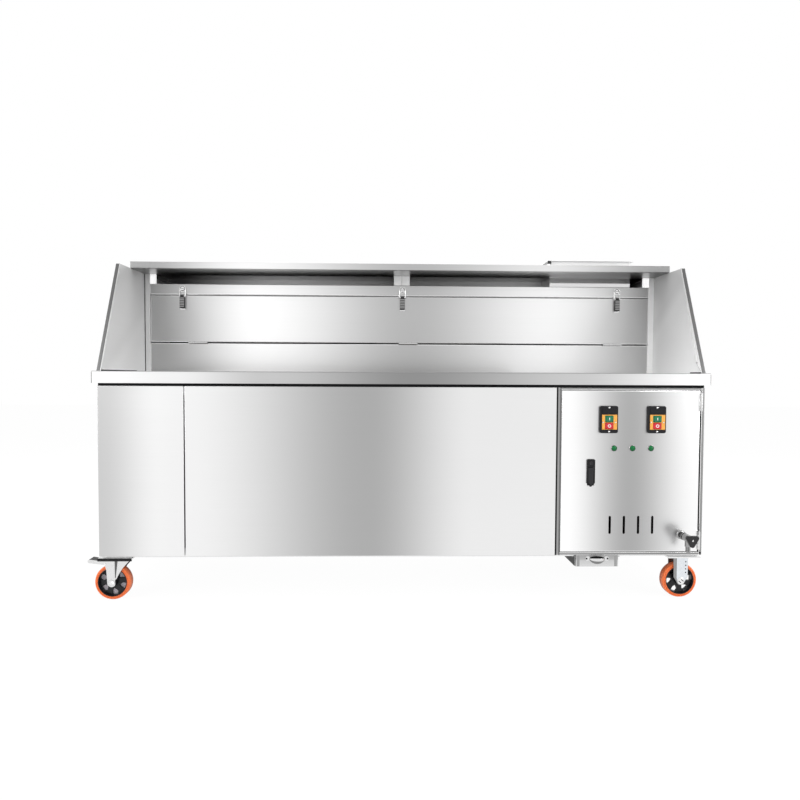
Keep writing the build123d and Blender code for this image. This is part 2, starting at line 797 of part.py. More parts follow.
def moving_leaf(length):
    """Hinge half whose middle knuckle turns on the pin; its leaf lies on the -X side."""
    third = length / 3
    leaf_x = (-leaf_gap / 2 - leaf_thickness, -leaf_gap / 2)
    leaf_start = barrel_radius + seat_gap
    bore = hinge_pin_radius + pin_play
    round_bar((0, 0, third), (0, 0, 1), barrel_radius, third)
    block(leaf_x, (bore, leaf_start), (third, 2 * third))
    block(leaf_x, (leaf_start, leaf_start + leaf_depth), (0, length))
    round_bar((0, 0, third), (0, 0, 1), bore, third, Mode.SUBTRACT)


# Rear flap with its three hinges
flap_x = inset(wall_x, side_play)
with BuildPart() as flap_panel:
    folded_panel(flap_x, (wall_front, wall_front + flap_depth), (flap_bottom, flap_top))
save(flap_panel, "flap_panel")

flap_hinge_planes = []
for share in flap_hinge_shares:
    hinge_start = (centre_x + share * counter_length - flap_hinge_length / 2, flap_axis_y, flap_axis_z)
    flap_hinge_planes.append(Plane(hinge_start, x_dir=(0, 0, -1), z_dir=(1, 0, 0)))

with BuildPart() as flap_hinge_fixed:
    with Locations(*flap_hinge_planes):
        fixed_leaf(flap_hinge_length)
save(flap_hinge_fixed, "flap_hinge_fixed")

with BuildPart() as flap_hinge_leaves:
    with Locations(*flap_hinge_planes):
        moving_leaf(flap_hinge_length)
save(flap_hinge_leaves, "flap_hinge_leaves")

# Draw latches: keeper on the rail, base with its bail on the flap, lever between the base's ears
latch_x = [centre_x + share * counter_length for share in latch_shares]
pivot_y = wall_front - latch_pivot_stand
pivot_z = flap_top - latch_pivot_drop
ear_inner = latch_width / 2 + side_play / 2
ear_outer = ear_inner + ear_thickness
bail_x = ear_outer + side_play / 2 + bail_radius
keeper_bottom = rail_bottom + keeper_lift
shelf_z = (keeper_bottom + keeper_shelf_lift, keeper_bottom + keeper_shelf_lift + keeper_shelf)
crossbar_z = shelf_z[1] + side_play + bail_radius

with BuildPart() as latch_keepers:
    for x in latch_x:
        keeper_z = (keeper_bottom, keeper_bottom + keeper_height)
        block(about(x, 2 * ear_outer), (wall_front - ear_thickness, wall_front), keeper_z)
        block(about(x, latch_width), (wall_front - keeper_reach, wall_front), shelf_z)
save(latch_keepers, "latch_keepers")

with BuildPart() as latch_bases:
    for x in latch_x:
        base_z = (pivot_z - latch_base_height, pivot_z)
        block(about(x, 2 * ear_outer), (wall_front - ear_thickness, wall_front), base_z)
        ear_y = (pivot_y - lever_barrel_radius, wall_front)
        for ear in ((x - ear_outer, x - ear_inner), (x + ear_inner, x + ear_outer)):
            block(ear, ear_y, about(pivot_z, 2 * lever_barrel_radius))
        ear_hole = (x - ear_outer - cut_overrun, pivot_y, pivot_z)
        ear_hole_length = 2 * ear_outer + 2 * cut_overrun
        round_bar(ear_hole, (1, 0, 0), latch_pin_radius + pin_play, ear_hole_length, Mode.SUBTRACT)
    for x in latch_x:
        pin_half = bail_x + 2 * bail_radius
        round_bar((x - pin_half, pivot_y, pivot_z), (1, 0, 0), latch_pin_radius, 2 * pin_half)
        with BuildLine() as bail_path:
            FilletPolyline(
                (x - bail_x, pivot_y, pivot_z),
                (x - bail_x, pivot_y, crossbar_z),
                (x + bail_x, pivot_y, crossbar_z),
                (x + bail_x, pivot_y, pivot_z),
                radius=bail_bend,
            )
        with BuildSketch(Plane((x - bail_x, pivot_y, pivot_z), z_dir=(0, 0, 1))):
            Circle(bail_radius)
        sweep(path=bail_path.line)
save(latch_bases, "latch_bases")

for lever_name, x in zip(("latch_lever_left", "latch_lever_centre", "latch_lever_right"), latch_x):
    with BuildPart() as latch_lever:
        plate_y = (pivot_y - lever_barrel_radius, pivot_y - lever_barrel_radius + lever_thickness)
        lever_low = pivot_z - lever_length
        lever_start = (x - latch_width / 2, pivot_y, pivot_z)
        round_bar(lever_start, (1, 0, 0), lever_barrel_radius, latch_width)
        block(about(x, latch_width), plate_y, (lever_low, pivot_z))
        tip_y = (plate_y[0] - lever_thickness, plate_y[0])
        block(about(x, latch_width), tip_y, (lever_low, lever_low + lever_thickness))
        round_bar(lever_start, (1, 0, 0), latch_pin_radius + pin_play, latch_width, Mode.SUBTRACT)
    save(latch_lever, lever_name)

# Control door with its cut-outs, measured from the door's left and top edges
switch_x = [door_left + place for place in switch_places]
lamp_x = [door_left + place for place in lamp_places]
vent_x = [door_left + place for place in vent_places]
switch_z = door_top - switch_drop
lamp_z = door_top - lamp_drop
lock_x = door_left + lock_place
lock_z = door_top - lock_drop
tap_x = door_left + tap_place
tap_z = door_bottom + tap_rise
cut_y = (panel_front - cut_overrun, panel_front + sheet + cut_overrun)
cut_depth = sheet + 2 * cut_overrun
lock_body_width = lock_width - 2 * lock_wall
lock_body_height = lock_height - 2 * lock_wall

with BuildPart() as door_panel:
    folded_panel((door_left, door_right), (panel_front, panel_front + door_depth), (door_bottom, door_top))
    for x in switch_x:
        cut_x = inset(about(x, switch_body_width), -seat_gap)
        cut_z = inset(about(switch_z, switch_body_height), -seat_gap)
        block(cut_x, cut_y, cut_z, Mode.SUBTRACT)
    for x in lamp_x:
        lamp_hole = lamp_barrel_radius + seat_gap
        round_bar((x, cut_y[0], lamp_z), (0, 1, 0), lamp_hole, cut_depth, Mode.SUBTRACT)
    lock_cut_x = inset(about(lock_x, lock_body_width), -seat_gap)
    lock_cut_z = inset(about(lock_z, lock_body_height), -seat_gap)
    block(lock_cut_x, cut_y, lock_cut_z, Mode.SUBTRACT)
    with BuildSketch(Plane((0, cut_y[1], door_bottom + vent_rise), x_dir=(1, 0, 0), z_dir=(0, -1, 0))):
        with Locations(*[(x, 0) for x in vent_x]):
            SlotOverall(vent_height, vent_width, rotation=90)
    extrude(amount=cut_depth, mode=Mode.SUBTRACT)
    tap_hole = tap_nipple_radius + seat_gap
    round_bar((tap_x, cut_y[0], tap_z), (0, 1, 0), tap_hole, cut_depth, Mode.SUBTRACT)
save(door_panel, "door_panel")

door_hinge_planes = []
for z in (door_bottom + door_hinge_margin, door_top - door_hinge_margin - door_hinge_length):
    hinge_start = (door_axis_x, door_axis_y, z)
    door_hinge_planes.append(Plane(hinge_start, x_dir=(1, 0, 0), z_dir=(0, 0, 1)))

with BuildPart() as door_hinge_fixed:
    with Locations(*door_hinge_planes):
        fixed_leaf(door_hinge_length)
save(door_hinge_fixed, "door_hinge_fixed")

with BuildPart() as door_hinge_leaves:
    with Locations(*door_hinge_planes):
        moving_leaf(door_hinge_length)
save(door_hinge_leaves, "door_hinge_leaves")

# Start and stop switches: a housing with two pockets, a start button above a stop button
switch_front = panel_front - switch_plate
button_step = (button_height + button_split) / 2
button_z = switch_z - button_block_drop
with BuildPart() as switch_bodies:
    for x in switch_x:
        block(about(x, switch_width), (switch_front, panel_front), about(switch_z, switch_height))
        body_y = (panel_front, panel_front + switch_body_depth)
        block(about(x, switch_body_width), body_y, about(switch_z, switch_body_height))
        for z in (button_z - button_step, button_z + button_step):
            pocket_x = inset(about(x, button_width), -seat_gap)
            pocket_z = inset(about(z, button_height), -seat_gap)
            pocket_y = (switch_front - cut_overrun, switch_front + button_pocket)
            block(pocket_x, pocket_y, pocket_z, Mode.SUBTRACT)
save(switch_bodies, "switch_bodies")

button_y = (switch_front - button_proud, switch_front + button_pocket - button_travel - seat_gap)
for side_name, x in zip(("left", "right"), switch_x):
    for button_name, z in (("start", button_z + button_step), ("stop", button_z - button_step)):
        with BuildPart() as button:
            block(about(x, button_width), button_y, about(z, button_height))
        save(button, f"{button_name}_button_{side_name}")

# Signal lamps: bezel with a barrel through the door, and a rounded lens
with BuildPart() as lamp_bezels:
    for x in lamp_x:
        bezel_start = (x, panel_front - bezel_height, lamp_z)
        round_bar(bezel_start, (0, 1, 0), bezel_radius, bezel_height)
        round_bar((x, panel_front, lamp_z), (0, 1, 0), lamp_barrel_radius, lamp_barrel_length)
        round_bar(bezel_start, (0, 1, 0), lens_radius + pin_play, lens_seat, Mode.SUBTRACT)
save(lamp_bezels, "lamp_bezels")

with BuildPart() as lamp_lenses:
    for x in lamp_x:
        lens_length = lens_height - bezel_height + lens_seat
        round_bar((x, panel_front - lens_height, lamp_z), (0, 1, 0), lens_radius, lens_length)
    lens_rims = lamp_lenses.edges().filter_by(GeomType.CIRCLE).group_by(Axis.Y)[0]
    fillet(lens_rims, lens_round)
save(lamp_lenses, "lamp_lenses")

# Flush lever lock: housing with a pocket for the lever and a push-button above it
lock_front = panel_front - lock_plate
lever_x = about(lock_x, lever_lock_width)
lever_bottom = lock_z - lock_height / 2 + lock_wall + lever_lock_gap
lever_top = lever_bottom + lever_lock_length
lever_point = lever_bottom + lever_lock_width * lever_point_share
lock_pin_y = (lock_front + panel_front) / 2
lock_button_z = lock_z + lock_height / 2 - lock_button_drop
with BuildPart() as lock_housing:
    block(about(lock_x, lock_width), (lock_front, panel_front), about(lock_z, lock_height))
    lock_body_y = (panel_front, panel_front + lock_body_depth)
    block(about(lock_x, lock_body_width), lock_body_y, about(lock_z, lock_body_height))
    lever_pocket_x = inset(lever_x, -side_play)
    lever_pocket_y = (lock_front - cut_overrun, panel_front + lever_lock_pocket)
    lever_pocket_z = inset((lever_bottom, lever_top), -lever_lock_gap)
    block(lever_pocket_x, lever_pocket_y, lever_pocket_z, Mode.SUBTRACT)
    lock_button_hole = lock_button_radius + seat_gap
    lock_button_start = (lock_x, lock_front - cut_overrun, lock_button_z)
    hole_length = lock_button_pocket + cut_overrun
    round_bar(lock_button_start, (0, 1, 0), lock_button_hole, hole_length, Mode.SUBTRACT)
    pin_span = inset(lever_pocket_x, -side_play)
    pin_start = (pin_span[0], lock_pin_y, lever_point)
    round_bar(pin_start, (1, 0, 0), lock_pin_radius, pin_span[1] - pin_span[0])
save(lock_housing, "lock_housing")

with BuildPart() as lock_lever:
    with BuildSketch(Plane((lock_x, panel_front, 0), x_dir=(1, 0, 0), z_dir=(0, -1, 0))):
        Polygon(
            (-lever_lock_width / 2, lever_top),
            (-lever_lock_width / 2, lever_point),
            (0, lever_bottom),
            (lever_lock_width / 2, lever_point),
            (lever_lock_width / 2, lever_top),
            align=None,
        )
    extrude(amount=lock_plate)
    lever_bore = (lever_x[0] - cut_overrun, lock_pin_y, lever_point)
    lever_bore_length = lever_lock_width + 2 * cut_overrun
    round_bar(lever_bore, (1, 0, 0), lock_pin_radius + pin_play, lever_bore_length, Mode.SUBTRACT)
save(lock_lever, "lock_lever")

with BuildPart() as lock_button:
    lock_button_length = lock_button_proud + lock_button_pocket - lock_button_travel - seat_gap
    lock_button_front = (lock_x, lock_front - lock_button_proud, lock_button_z)
    round_bar(lock_button_front, (0, 1, 0), lock_button_radius, lock_button_length)
save(lock_button, "lock_button")

# Drain tap: nipple through the door, valve body with a spout that points down, and a lobed handle
handle_front = panel_front - tap_reach
handle_back = handle_front + tap_handle_thickness
body_front = panel_front - tap_body_start - tap_body_length
spout_y = panel_front - tap_spout_at
with BuildPart() as tap_body:
    tail_back = panel_front + tap_tail_length
    nipple_length = tap_body_start + tap_tail_length
    round_bar((tap_x, tail_back, tap_z), (0, -1, 0), tap_nipple_radius, nipple_length)
    round_bar((tap_x, panel_front, tap_z), (0, -1, 0), tap_rose_radius, tap_rose)
    with BuildSketch(Plane((tap_x, panel_front + sheet, tap_z), x_dir=(1, 0, 0), z_dir=(0, 1, 0))):
        RegularPolygon(tap_nut_radius, 6)
    extrude(amount=tap_nut)
    round_bar((tap_x, body_front + tap_body_length, tap_z), (0, -1, 0), tap_body_radius, tap_body_length)
    round_bar((tap_x, body_front, tap_z), (0, -1, 0), tap_spindle_radius, body_front - handle_front)
    neck_drop = tap_spout_drop - tap_thread_length
    round_bar((tap_x, spout_y, tap_z), (0, 0, -1), tap_neck_radius, neck_drop)
    round_bar((tap_x, spout_y, tap_z), (0, 0, -1), tap_spout_radius, tap_spout_drop)
    spout_end = (tap_x, spout_y, tap_z - tap_spout_drop)
    round_bar(spout_end, (0, 0, 1), tap_bore_radius, tap_thread_length, Mode.SUBTRACT)
save(tap_body, "tap_body")

with BuildPart() as tap_handle:
    with BuildSketch(Plane((tap_x, handle_back, tap_z), x_dir=(1, 0, 0), z_dir=(0, -1, 0))):
        with PolarLocations(tap_handle_span - tap_handle_lobe, 3, start_angle=270):
            Circle(tap_handle_lobe)
        make_hull()
    extrude(amount=tap_handle_thickness)
    handle_bore = (tap_x, handle_back + cut_overrun, tap_z)
    handle_bore_length = tap_handle_thickness + 2 * cut_overrun
    round_bar(handle_bore, (0, -1, 0), tap_spindle_radius + pin_play, handle_bore_length, Mode.SUBTRACT)
save(tap_handle, "tap_handle")

# Grease drawer: open box behind a front plate, and a shell pull on the plate
with BuildPart() as drawer_box:
    box_x = inset((drawer_left, drawer_right), sheet + side_play)
    box_y = (drawer_front, drawer_front + drawer_box_depth)
    box_z = (box_bottom, box_bottom + drawer_box_height)
    block(box_x, box_y, box_z)
    block((drawer_left, drawer_right), (drawer_front, drawer_front + sheet), (drawer_bottom, drawer_top))
    hollow_y = (drawer_front + sheet, box_y[1] - drawer_wall)
    hollow_z = (box_z[0] + drawer_wall, box_z[1] + cut_overrun)
    block(inset(box_x, drawer_wall), hollow_y, hollow_z, Mode.SUBTRACT)
save(drawer_box, "drawer_box")

pull_x = (drawer_left + drawer_right) / 2
pull_z = drawer_top - pull_drop
with BuildPart() as drawer_pull:
    pull_inner = pull_half_length - pull_wall
    with BuildSketch(Plane((pull_x, drawer_front, pull_z), x_dir=(1, 0, 0), z_dir=(0, 1, 0))):
        with BuildLine():
            ThreePointArc((-pull_half_length, 0), (0, pull_radius), (pull_half_length, 0))
            Line((pull_half_length, 0), (pull_inner, 0))
            ThreePointArc((pull_inner, 0), (0, pull_radius - pull_wall), (-pull_inner, 0))
            Line((-pull_inner, 0), (-pull_half_length, 0))
        make_face()
    revolve(axis=Axis((pull_x, drawer_front, pull_z), (-1, 0, 0)), revolution_arc=pull_sweep)
    ear_reach = pull_half_length + pull_ear_radius / 2
    for x in (pull_x - ear_reach, pull_x + ear_reach):
        round_bar((x, drawer_front, pull_z), (0, -1, 0), pull_ear_radius, pull_wall)
save(drawer_pull, "drawer_pull")


def fork_outline(front, back, axle_x, top, end_radius):
    """Side view of a caster leg: a broad head tapering to a round end at the axle."""
    with Locations(((front - back) / 2, top - fork_top / 2)):
        Rectangle(front + back, fork_top)
    with Locations((axle_x, wheel_radius)):
        Circle(end_radius)
    make_hull()


def leg_planes(x, y):
    """Outer faces' planes of the two legs, each to be thickened towards -Y."""
    starts = ((x, y + leg_outer, 0), (x, y - leg_inner, 0))
    return [Plane(start, x_dir=(1, 0, 0), z_dir=(0, -1, 0)) for start in starts]


def cut_leg_holes(x, y):
    """Axle holes through both legs."""
    start = (x, y - leg_outer - cut_overrun, wheel_radius)
    length = 2 * leg_outer + 2 * cut_overrun
    round_bar(start, (0, 1, 0), axle_radius + pin_play, length, Mode.SUBTRACT)


def axle(x, y):
    """Axle bolt through both legs, with a head on each side."""
    reach = leg_outer + weld_gap + axle_head
    round_bar((x, y - reach, wheel_radius), (0, 1, 0), axle_radius, 2 * reach)
    for start, direction in ((y - leg_outer - weld_gap, -1), (y + leg_outer + weld_gap, 1)):
        round_bar((x, start, wheel_radius), (0, direction, 0), axle_head_radius, axle_head)


# Swivel casters on the left: plate with race and kingpin, fork with axle, brake pedal in front
pedal_pivot_x = left_caster_x - pedal_pivot_back
pedal_pivot_z = yoke_top - pedal_pivot_drop
pedal_half = leg_inner - pedal_side_gap
with BuildPart() as swivel_plates:
    for y in (front_caster_y, rear_caster_y):
        plate_x = about(left_caster_x, caster_plate_length)
        block(plate_x, about(y, caster_plate_width), (plate_under, caster_height))
        round_bar((left_caster_x, y, plate_under), (0, 0, -1), race_radius, race_height)
        pin_length = plate_under - yoke_top + yoke_plate + seat_gap
        round_bar((left_caster_x, y, plate_under), (0, 0, -1), kingpin_radius, pin_length)
        head_start = (left_caster_x, y, plate_under - pin_length)
        round_bar(head_start, (0, 0, -1), kingpin_head_radius, kingpin_head)
save(swivel_plates, "swivel_plates")

left_axle_x = left_caster_x - caster_trail
for fork_name, y in (("swivel_fork_front", front_caster_y), ("swivel_fork_rear", rear_caster_y)):
    with BuildPart() as swivel_fork:
        for plane in leg_planes(left_caster_x, y):
            with BuildSketch(plane):
                fork_outline(yoke_front, yoke_back, -caster_trail, yoke_top, fork_end_radius)
            extrude(amount=fork_leg)
        yoke_x = (pedal_pivot_x + pedal_barrel_radius + pedal_side_gap, left_caster_x + yoke_front)
        block(yoke_x, about(y, 2 * leg_outer), (yoke_top - yoke_plate, yoke_top))
        yoke_bore = (left_caster_x, y, yoke_top + cut_overrun)
        yoke_bore_length = yoke_plate + 2 * cut_overrun
        round_bar(yoke_bore, (0, 0, -1), kingpin_radius + pin_play, yoke_bore_length, Mode.SUBTRACT)
        if y == front_caster_y:
            pedal_pin = (pedal_pivot_x, y - leg_outer, pedal_pivot_z)
            round_bar(pedal_pin, (0, 1, 0), pedal_pin_radius, 2 * leg_outer)
        cut_leg_holes(left_axle_x, y)
        axle(left_axle_x, y)
    save(swivel_fork, fork_name)

with BuildPart() as brake_pedal:
    with BuildSketch(Plane((0, front_caster_y, 0), x_dir=(1, 0, 0), z_dir=(0, -1, 0))):
        with Locations((pedal_pivot_x, pedal_pivot_z)):
            Circle(pedal_barrel_radius)
        with Locations((left_caster_x - pedal_reach + pedal_tip_radius, pedal_pivot_z + pedal_rise)):
            Circle(pedal_tip_radius)
        make_hull()
    extrude(amount=pedal_half, both=True)
    pedal_bore = (pedal_pivot_x, front_caster_y - pedal_half - cut_overrun, pedal_pivot_z)
    pedal_bore_length = 2 * pedal_half + 2 * cut_overrun
    round_bar(pedal_bore, (0, 1, 0), pedal_pin_radius + pin_play, pedal_bore_length, Mode.SUBTRACT)
save(brake_pedal, "brake_pedal")

# Fixed casters on the right: plate and legs in one, with an axle each
with BuildPart() as fixed_forks:
    for y in (front_caster_y, rear_caster_y):
        plate_x = about(right_caster_x, caster_plate_length)
        block(plate_x, about(y, caster_plate_width), (plate_under, caster_height))
        for plane in leg_planes(right_caster_x, y):
            with BuildSketch(plane):
                fork_outline(fixed_leg_half, fixed_leg_half, 0, plate_under, fixed_leg_end_radius)
            extrude(amount=fork_leg)
        cut_leg_holes(right_caster_x, y)
        axle(right_caster_x, y)
save(fixed_forks, "fixed_forks")

# Wheels: tyre on a windowed hub
rim_radius = wheel_radius - tyre_depth
window_inner = hub_boss_radius + rim_depth / 2
window_outer = rim_radius - rim_depth - rim_depth / 2
window_width = window_share * 2 * math.pi * (window_inner + window_outer) / 2 / hub_windows
for wheel_name, x, y in (
    ("wheel_front_left", left_axle_x, front_caster_y),
    ("wheel_rear_left", left_axle_x, rear_caster_y),
    ("wheel_front_right", right_caster_x, front_caster_y),
    ("wheel_rear_right", right_caster_x, rear_caster_y),
):
    with BuildPart() as wheel:
        wheel_plane = Plane((x, y, wheel_radius), x_dir=(1, 0, 0), z_dir=(0, -1, 0))
        with BuildSketch(wheel_plane):
            Circle(wheel_radius)
            Circle(rim_radius, mode=Mode.SUBTRACT)
        extrude(amount=tyre_width / 2, both=True)
        tread_edges = wheel.edges().filter_by(GeomType.CIRCLE).group_by(SortBy.RADIUS)[-1]
        fillet(tread_edges, tyre_round)
        with BuildSketch(wheel_plane):
            Circle(rim_radius - pin_play)
            with PolarLocations((window_inner + window_outer) / 2, hub_windows):
                Rectangle(window_outer - window_inner, window_width, mode=Mode.SUBTRACT)
        extrude(amount=hub_web / 2, both=True)
        with BuildSketch(wheel_plane):
            Circle(rim_radius - pin_play)
            Circle(rim_radius - rim_depth, mode=Mode.SUBTRACT)
        extrude(amount=tyre_width / 2, both=True)
        with BuildSketch(wheel_plane):
            Circle(hub_boss_radius)
        extrude(amount=hub_width / 2, both=True)
        bore_start = (x, y - hub_width / 2 - cut_overrun, wheel_radius)
        bore_length = hub_width + 2 * cut_overrun
        round_bar(bore_start, (0, 1, 0), axle_radius + pin_play, bore_length, Mode.SUBTRACT)
    save(wheel, wheel_name)
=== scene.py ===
"""Looks of a stainless smokeless barbecue cart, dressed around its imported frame."""

import json
import math

import bmesh
import bpy
from bpy.props import FloatProperty, FloatVectorProperty, IntProperty, PointerProperty
from mathutils import Matrix, Vector


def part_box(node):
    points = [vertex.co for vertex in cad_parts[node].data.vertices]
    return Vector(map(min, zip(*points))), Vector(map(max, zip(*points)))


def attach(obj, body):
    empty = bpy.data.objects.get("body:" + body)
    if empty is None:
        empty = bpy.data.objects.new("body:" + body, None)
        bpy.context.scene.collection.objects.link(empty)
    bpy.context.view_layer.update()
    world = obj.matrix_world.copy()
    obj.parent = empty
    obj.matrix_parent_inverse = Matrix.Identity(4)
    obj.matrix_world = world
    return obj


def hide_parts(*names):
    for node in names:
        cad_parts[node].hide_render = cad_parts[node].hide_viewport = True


bl_info = {
    "name": "Smokeless Barbecue Cart",
    "version": (1, 0, 0),
    "blender": (4, 5, 0),
    "location": "View3D > Sidebar > Barbecue",
    "description": "Dresses the frame of a stainless barbecue cart with its sheets, casters and fittings",
    "category": "Object",
}

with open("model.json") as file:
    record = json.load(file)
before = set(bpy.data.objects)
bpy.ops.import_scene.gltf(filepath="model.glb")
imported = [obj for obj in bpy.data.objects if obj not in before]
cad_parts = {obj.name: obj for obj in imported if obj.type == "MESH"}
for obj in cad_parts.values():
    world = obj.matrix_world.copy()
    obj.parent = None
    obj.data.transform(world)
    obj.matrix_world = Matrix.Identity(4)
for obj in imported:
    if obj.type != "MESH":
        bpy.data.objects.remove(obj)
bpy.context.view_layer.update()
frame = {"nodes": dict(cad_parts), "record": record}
NODES = frame["nodes"]
RECORD = frame["record"]
SLOTS = {part["node"]: part["material_slot"] for part in RECORD["subparts"]}
BODIES = {node: body for body, members in RECORD["behaviour"]["bodies"].items() for node in members}
SMOOTH_ANGLE = math.radians(34)
GRAIN_ALONG_X = (3.0, 700.0, 700.0)
GRAIN_ALONG_Y = (700.0, 3.0, 700.0)
NEAR = 1e-5
WELD = 1e-6
SOFT_BLACK = (0.012, 0.012, 0.013)
MATT_BLACK = (0.01, 0.01, 0.011)
DEEP_BLACK = (0.006, 0.006, 0.007)


# Shader kit


def sum_of(operation, reflected=False):
    """A method that adds a Math node for a wire and what stands beside it."""

    def method(self, other):
        first, second = (other, self) if reflected else (self, other)
        return self.finish.node("ShaderNodeMath", {"operation": operation}, {0: first, 1: second})

    return method


class Wire:
    """A shader socket that takes part in sums: an expression on it adds Math nodes."""

    def __init__(self, finish, socket):
        self.finish = finish
        self.socket = socket

    __add__ = sum_of("ADD")
    __radd__ = sum_of("ADD", reflected=True)
    __sub__ = sum_of("SUBTRACT")
    __rsub__ = sum_of("SUBTRACT", reflected=True)
    __mul__ = sum_of("MULTIPLY")
    __rmul__ = sum_of("MULTIPLY", reflected=True)
    __truediv__ = sum_of("DIVIDE")
    __pow__ = sum_of("POWER")


class Finish:
    """One material, or the world, while its nodes are being laid out."""

    def __init__(self, owner):
        owner.use_nodes = True
        self.owner = owner
        self.tree = owner.node_tree

    def feed(self, socket, value):
        """Link a wire into a socket, or set the number or colour on the socket itself."""
        if isinstance(value, Wire):
            self.tree.links.new(value.socket, socket)
        else:
            socket.default_value = value

    def node(self, kind, settings=(), sockets=(), output=0):
        """Add a node: its settings first, then the values or links of its sockets."""
        made = self.tree.nodes.new(kind)
        for key, value in dict(settings).items():
            if key == "stops":
                fill_ramp(made.color_ramp, value)
            else:
                setattr(made, key, value)
        for key, value in dict(sockets).items():
            self.feed(made.inputs[key], value)
        return Wire(self, made.outputs[output])

    def surface(self, **sockets):
        """Set the sockets of the material's Principled surface."""
        shader = self.tree.nodes["Principled BSDF"]
        for key, value in sockets.items():
            label = key.replace("_", " ").title().replace("Ior", "IOR")
            self.feed(shader.inputs[label], value)

    def along(self, axis):
        """One coordinate of the piece's own place, in metres."""
        place = self.node("ShaderNodeTexCoord", output="Object")
        return self.node("ShaderNodeSeparateXYZ", (), {0: place}, output=axis)

    def share(self, axis, span):
        """How far along a span the surface is, from 0 to 1."""
        return (self.along(axis) - span[0]) / (span[1] - span[0])

    def noise(self, scale, detail=2.0):
        """Noise that is finer along some axes than others: cycles per metre on each."""
        place = self.node("ShaderNodeTexCoord", output="Object")
        stretched = self.node("ShaderNodeMapping", (), {"Vector": place, "Scale": scale})
        return self.node("ShaderNodeTexNoise", (), {"Vector": stretched, "Scale": 1.0, "Detail": detail})

    def mixed(self, low, high, factor=1.0, blend="MIX"):
        """Two colours blended or multiplied."""
        settings = {"data_type": "RGBA", "blend_type": blend}
        return self.node("ShaderNodeMix", settings, {"Factor": factor, 6: low, 7: high}, output=2)

    def shade(self, colour, amount):
        """A colour made lighter or darker by a number around 1."""
        level = self.node("ShaderNodeCombineColor", (), {0: amount, 1: amount, 2: amount})
        return self.mixed(colour, level, blend="MULTIPLY")

    def bumped(self, height, depth):
        """A normal raised by a height from 0 to 1, over a depth in metres."""
        return self.node("ShaderNodeBump", (), {"Height": height, "Distance": depth, "Strength": 1.0})


def fill_ramp(ramp, stops):
    """Lay a ramp's stops, each a share along it and a colour, and ease between them."""
    ramp.interpolation = "EASE"
    ramp.elements.remove(ramp.elements[1])
    ramp.elements[0].position = stops[0][0]
    ramp.elements[0].color = stops[0][1]
    for share, colour in stops[1:]:
        ramp.elements.new(share).color = colour


def linear(tone):
    """Linear light of a tone that is written as it looks, from 0 to 1."""
    return tone ** 2.2


def grey(tone, warmth=0.0):
    """A neutral colour as it looks, a little warmer or cooler."""
    return (linear(tone * (1 + warmth)), linear(tone), linear(tone * (1 - warmth)), 1.0)


def colour_of(looks):
    """A property's colour with its alpha, for a shader socket."""
    return (*looks, 1.0)


def new_finish(name):
    """A new material, ready for its nodes."""
    return Finish(bpy.data.materials.new(name))


# Finishes of the sheets


def brushed_sheet(name, painted_sheen, course, grain=GRAIN_ALONG_X, roughness=0.3, metallic=1.0, painted_glow=None):
    """Brushed stainless sheet with its grain and a painted sheen: reflection bands painted into its colour along
    a course from 0 to 1, and a painted glow if one is given.
    """
    finish = new_finish(name)
    # painted glow: an emission that makes the sheet glow though it is no lamp
    if painted_glow:
        finish.surface(emission_color=painted_glow, emission_strength=1.0)
    # painted sheen: tones along the course that paint broad reflection bands into the colour
    stops = [(at, grey(tone)) for at, tone in painted_sheen]
    painted_bands = finish.node("ShaderNodeValToRGB", {"stops": stops}, {0: course(finish)})
    lines = finish.noise(grain, detail=4.0)
    clouds = finish.noise((2.3, 2.3, 2.3))
    finish.surface(
        base_color=finish.shade(painted_bands, 0.965 + lines * 0.05 + clouds * 0.02),
        roughness=roughness - 0.05 + lines * 0.08 + clouds * 0.04,
        metallic=metallic,
        normal=finish.bumped(lines, 0.00001),
    )
    return finish.owner


def plain_steel(name, tone, roughness=0.3, grain=(60.0, 60.0, 60.0), warmth=0.0):
    """Steel of one tone with a fine grain, for tubes, bolts, forks and pressed parts."""
    finish = new_finish(name)
    specks = finish.noise(grain, detail=3.0)
    clouds = finish.noise((9.0, 9.0, 9.0))
    finish.surface(
        base_color=finish.shade(grey(tone, warmth), 0.86 + specks * 0.16 + clouds * 0.12),
        roughness=roughness - 0.06 + clouds * 0.12,
        metallic=1.0,
        normal=finish.bumped(specks, 0.00003),
    )
    return finish.owner


def fire_steel(name, tone):
    """Steel that has met the fire: straw and blue heat tint with a trace of soot."""
    finish = new_finish(name)
    tint = finish.noise((5.0, 9.0, 9.0), detail=3.0)
    stops = [(0.3, grey(tone)), (0.5, grey(tone * 0.9, 0.05)), (0.68, grey(tone * 0.72, -0.04))]
    heat = finish.node("ShaderNodeValToRGB", {"stops": stops}, {0: tint})
    soot = finish.noise((40.0, 40.0, 40.0), detail=4.0)
    finish.surface(
        base_color=finish.shade(heat, 0.75 + soot * 0.4),
        roughness=0.3 + soot * 0.25,
        metallic=1.0,
        normal=finish.bumped(soot, 0.00005),
    )
    return finish.owner


def moulded(name, colour, roughness=0.42, texture=900.0, relief=0.00002, gloss=0.5):
    """Moulded plastic or lacquer with a fine skin texture and slight wear in its colour."""
    finish = new_finish(name)
    skin = finish.noise((texture, texture, texture))
    wear = finish.noise((35.0, 35.0, 35.0), detail=3.0)
    finish.surface(
        base_color=finish.shade(colour_of(colour), 0.88 + wear * 0.24),
        roughness=roughness - 0.06 + wear * 0.12,
        specular_ior_level=gloss,
        normal=finish.bumped(skin, relief),
    )
    return finish.owner


# Shape kit: every maker hands back a bmesh in the cart's own frame


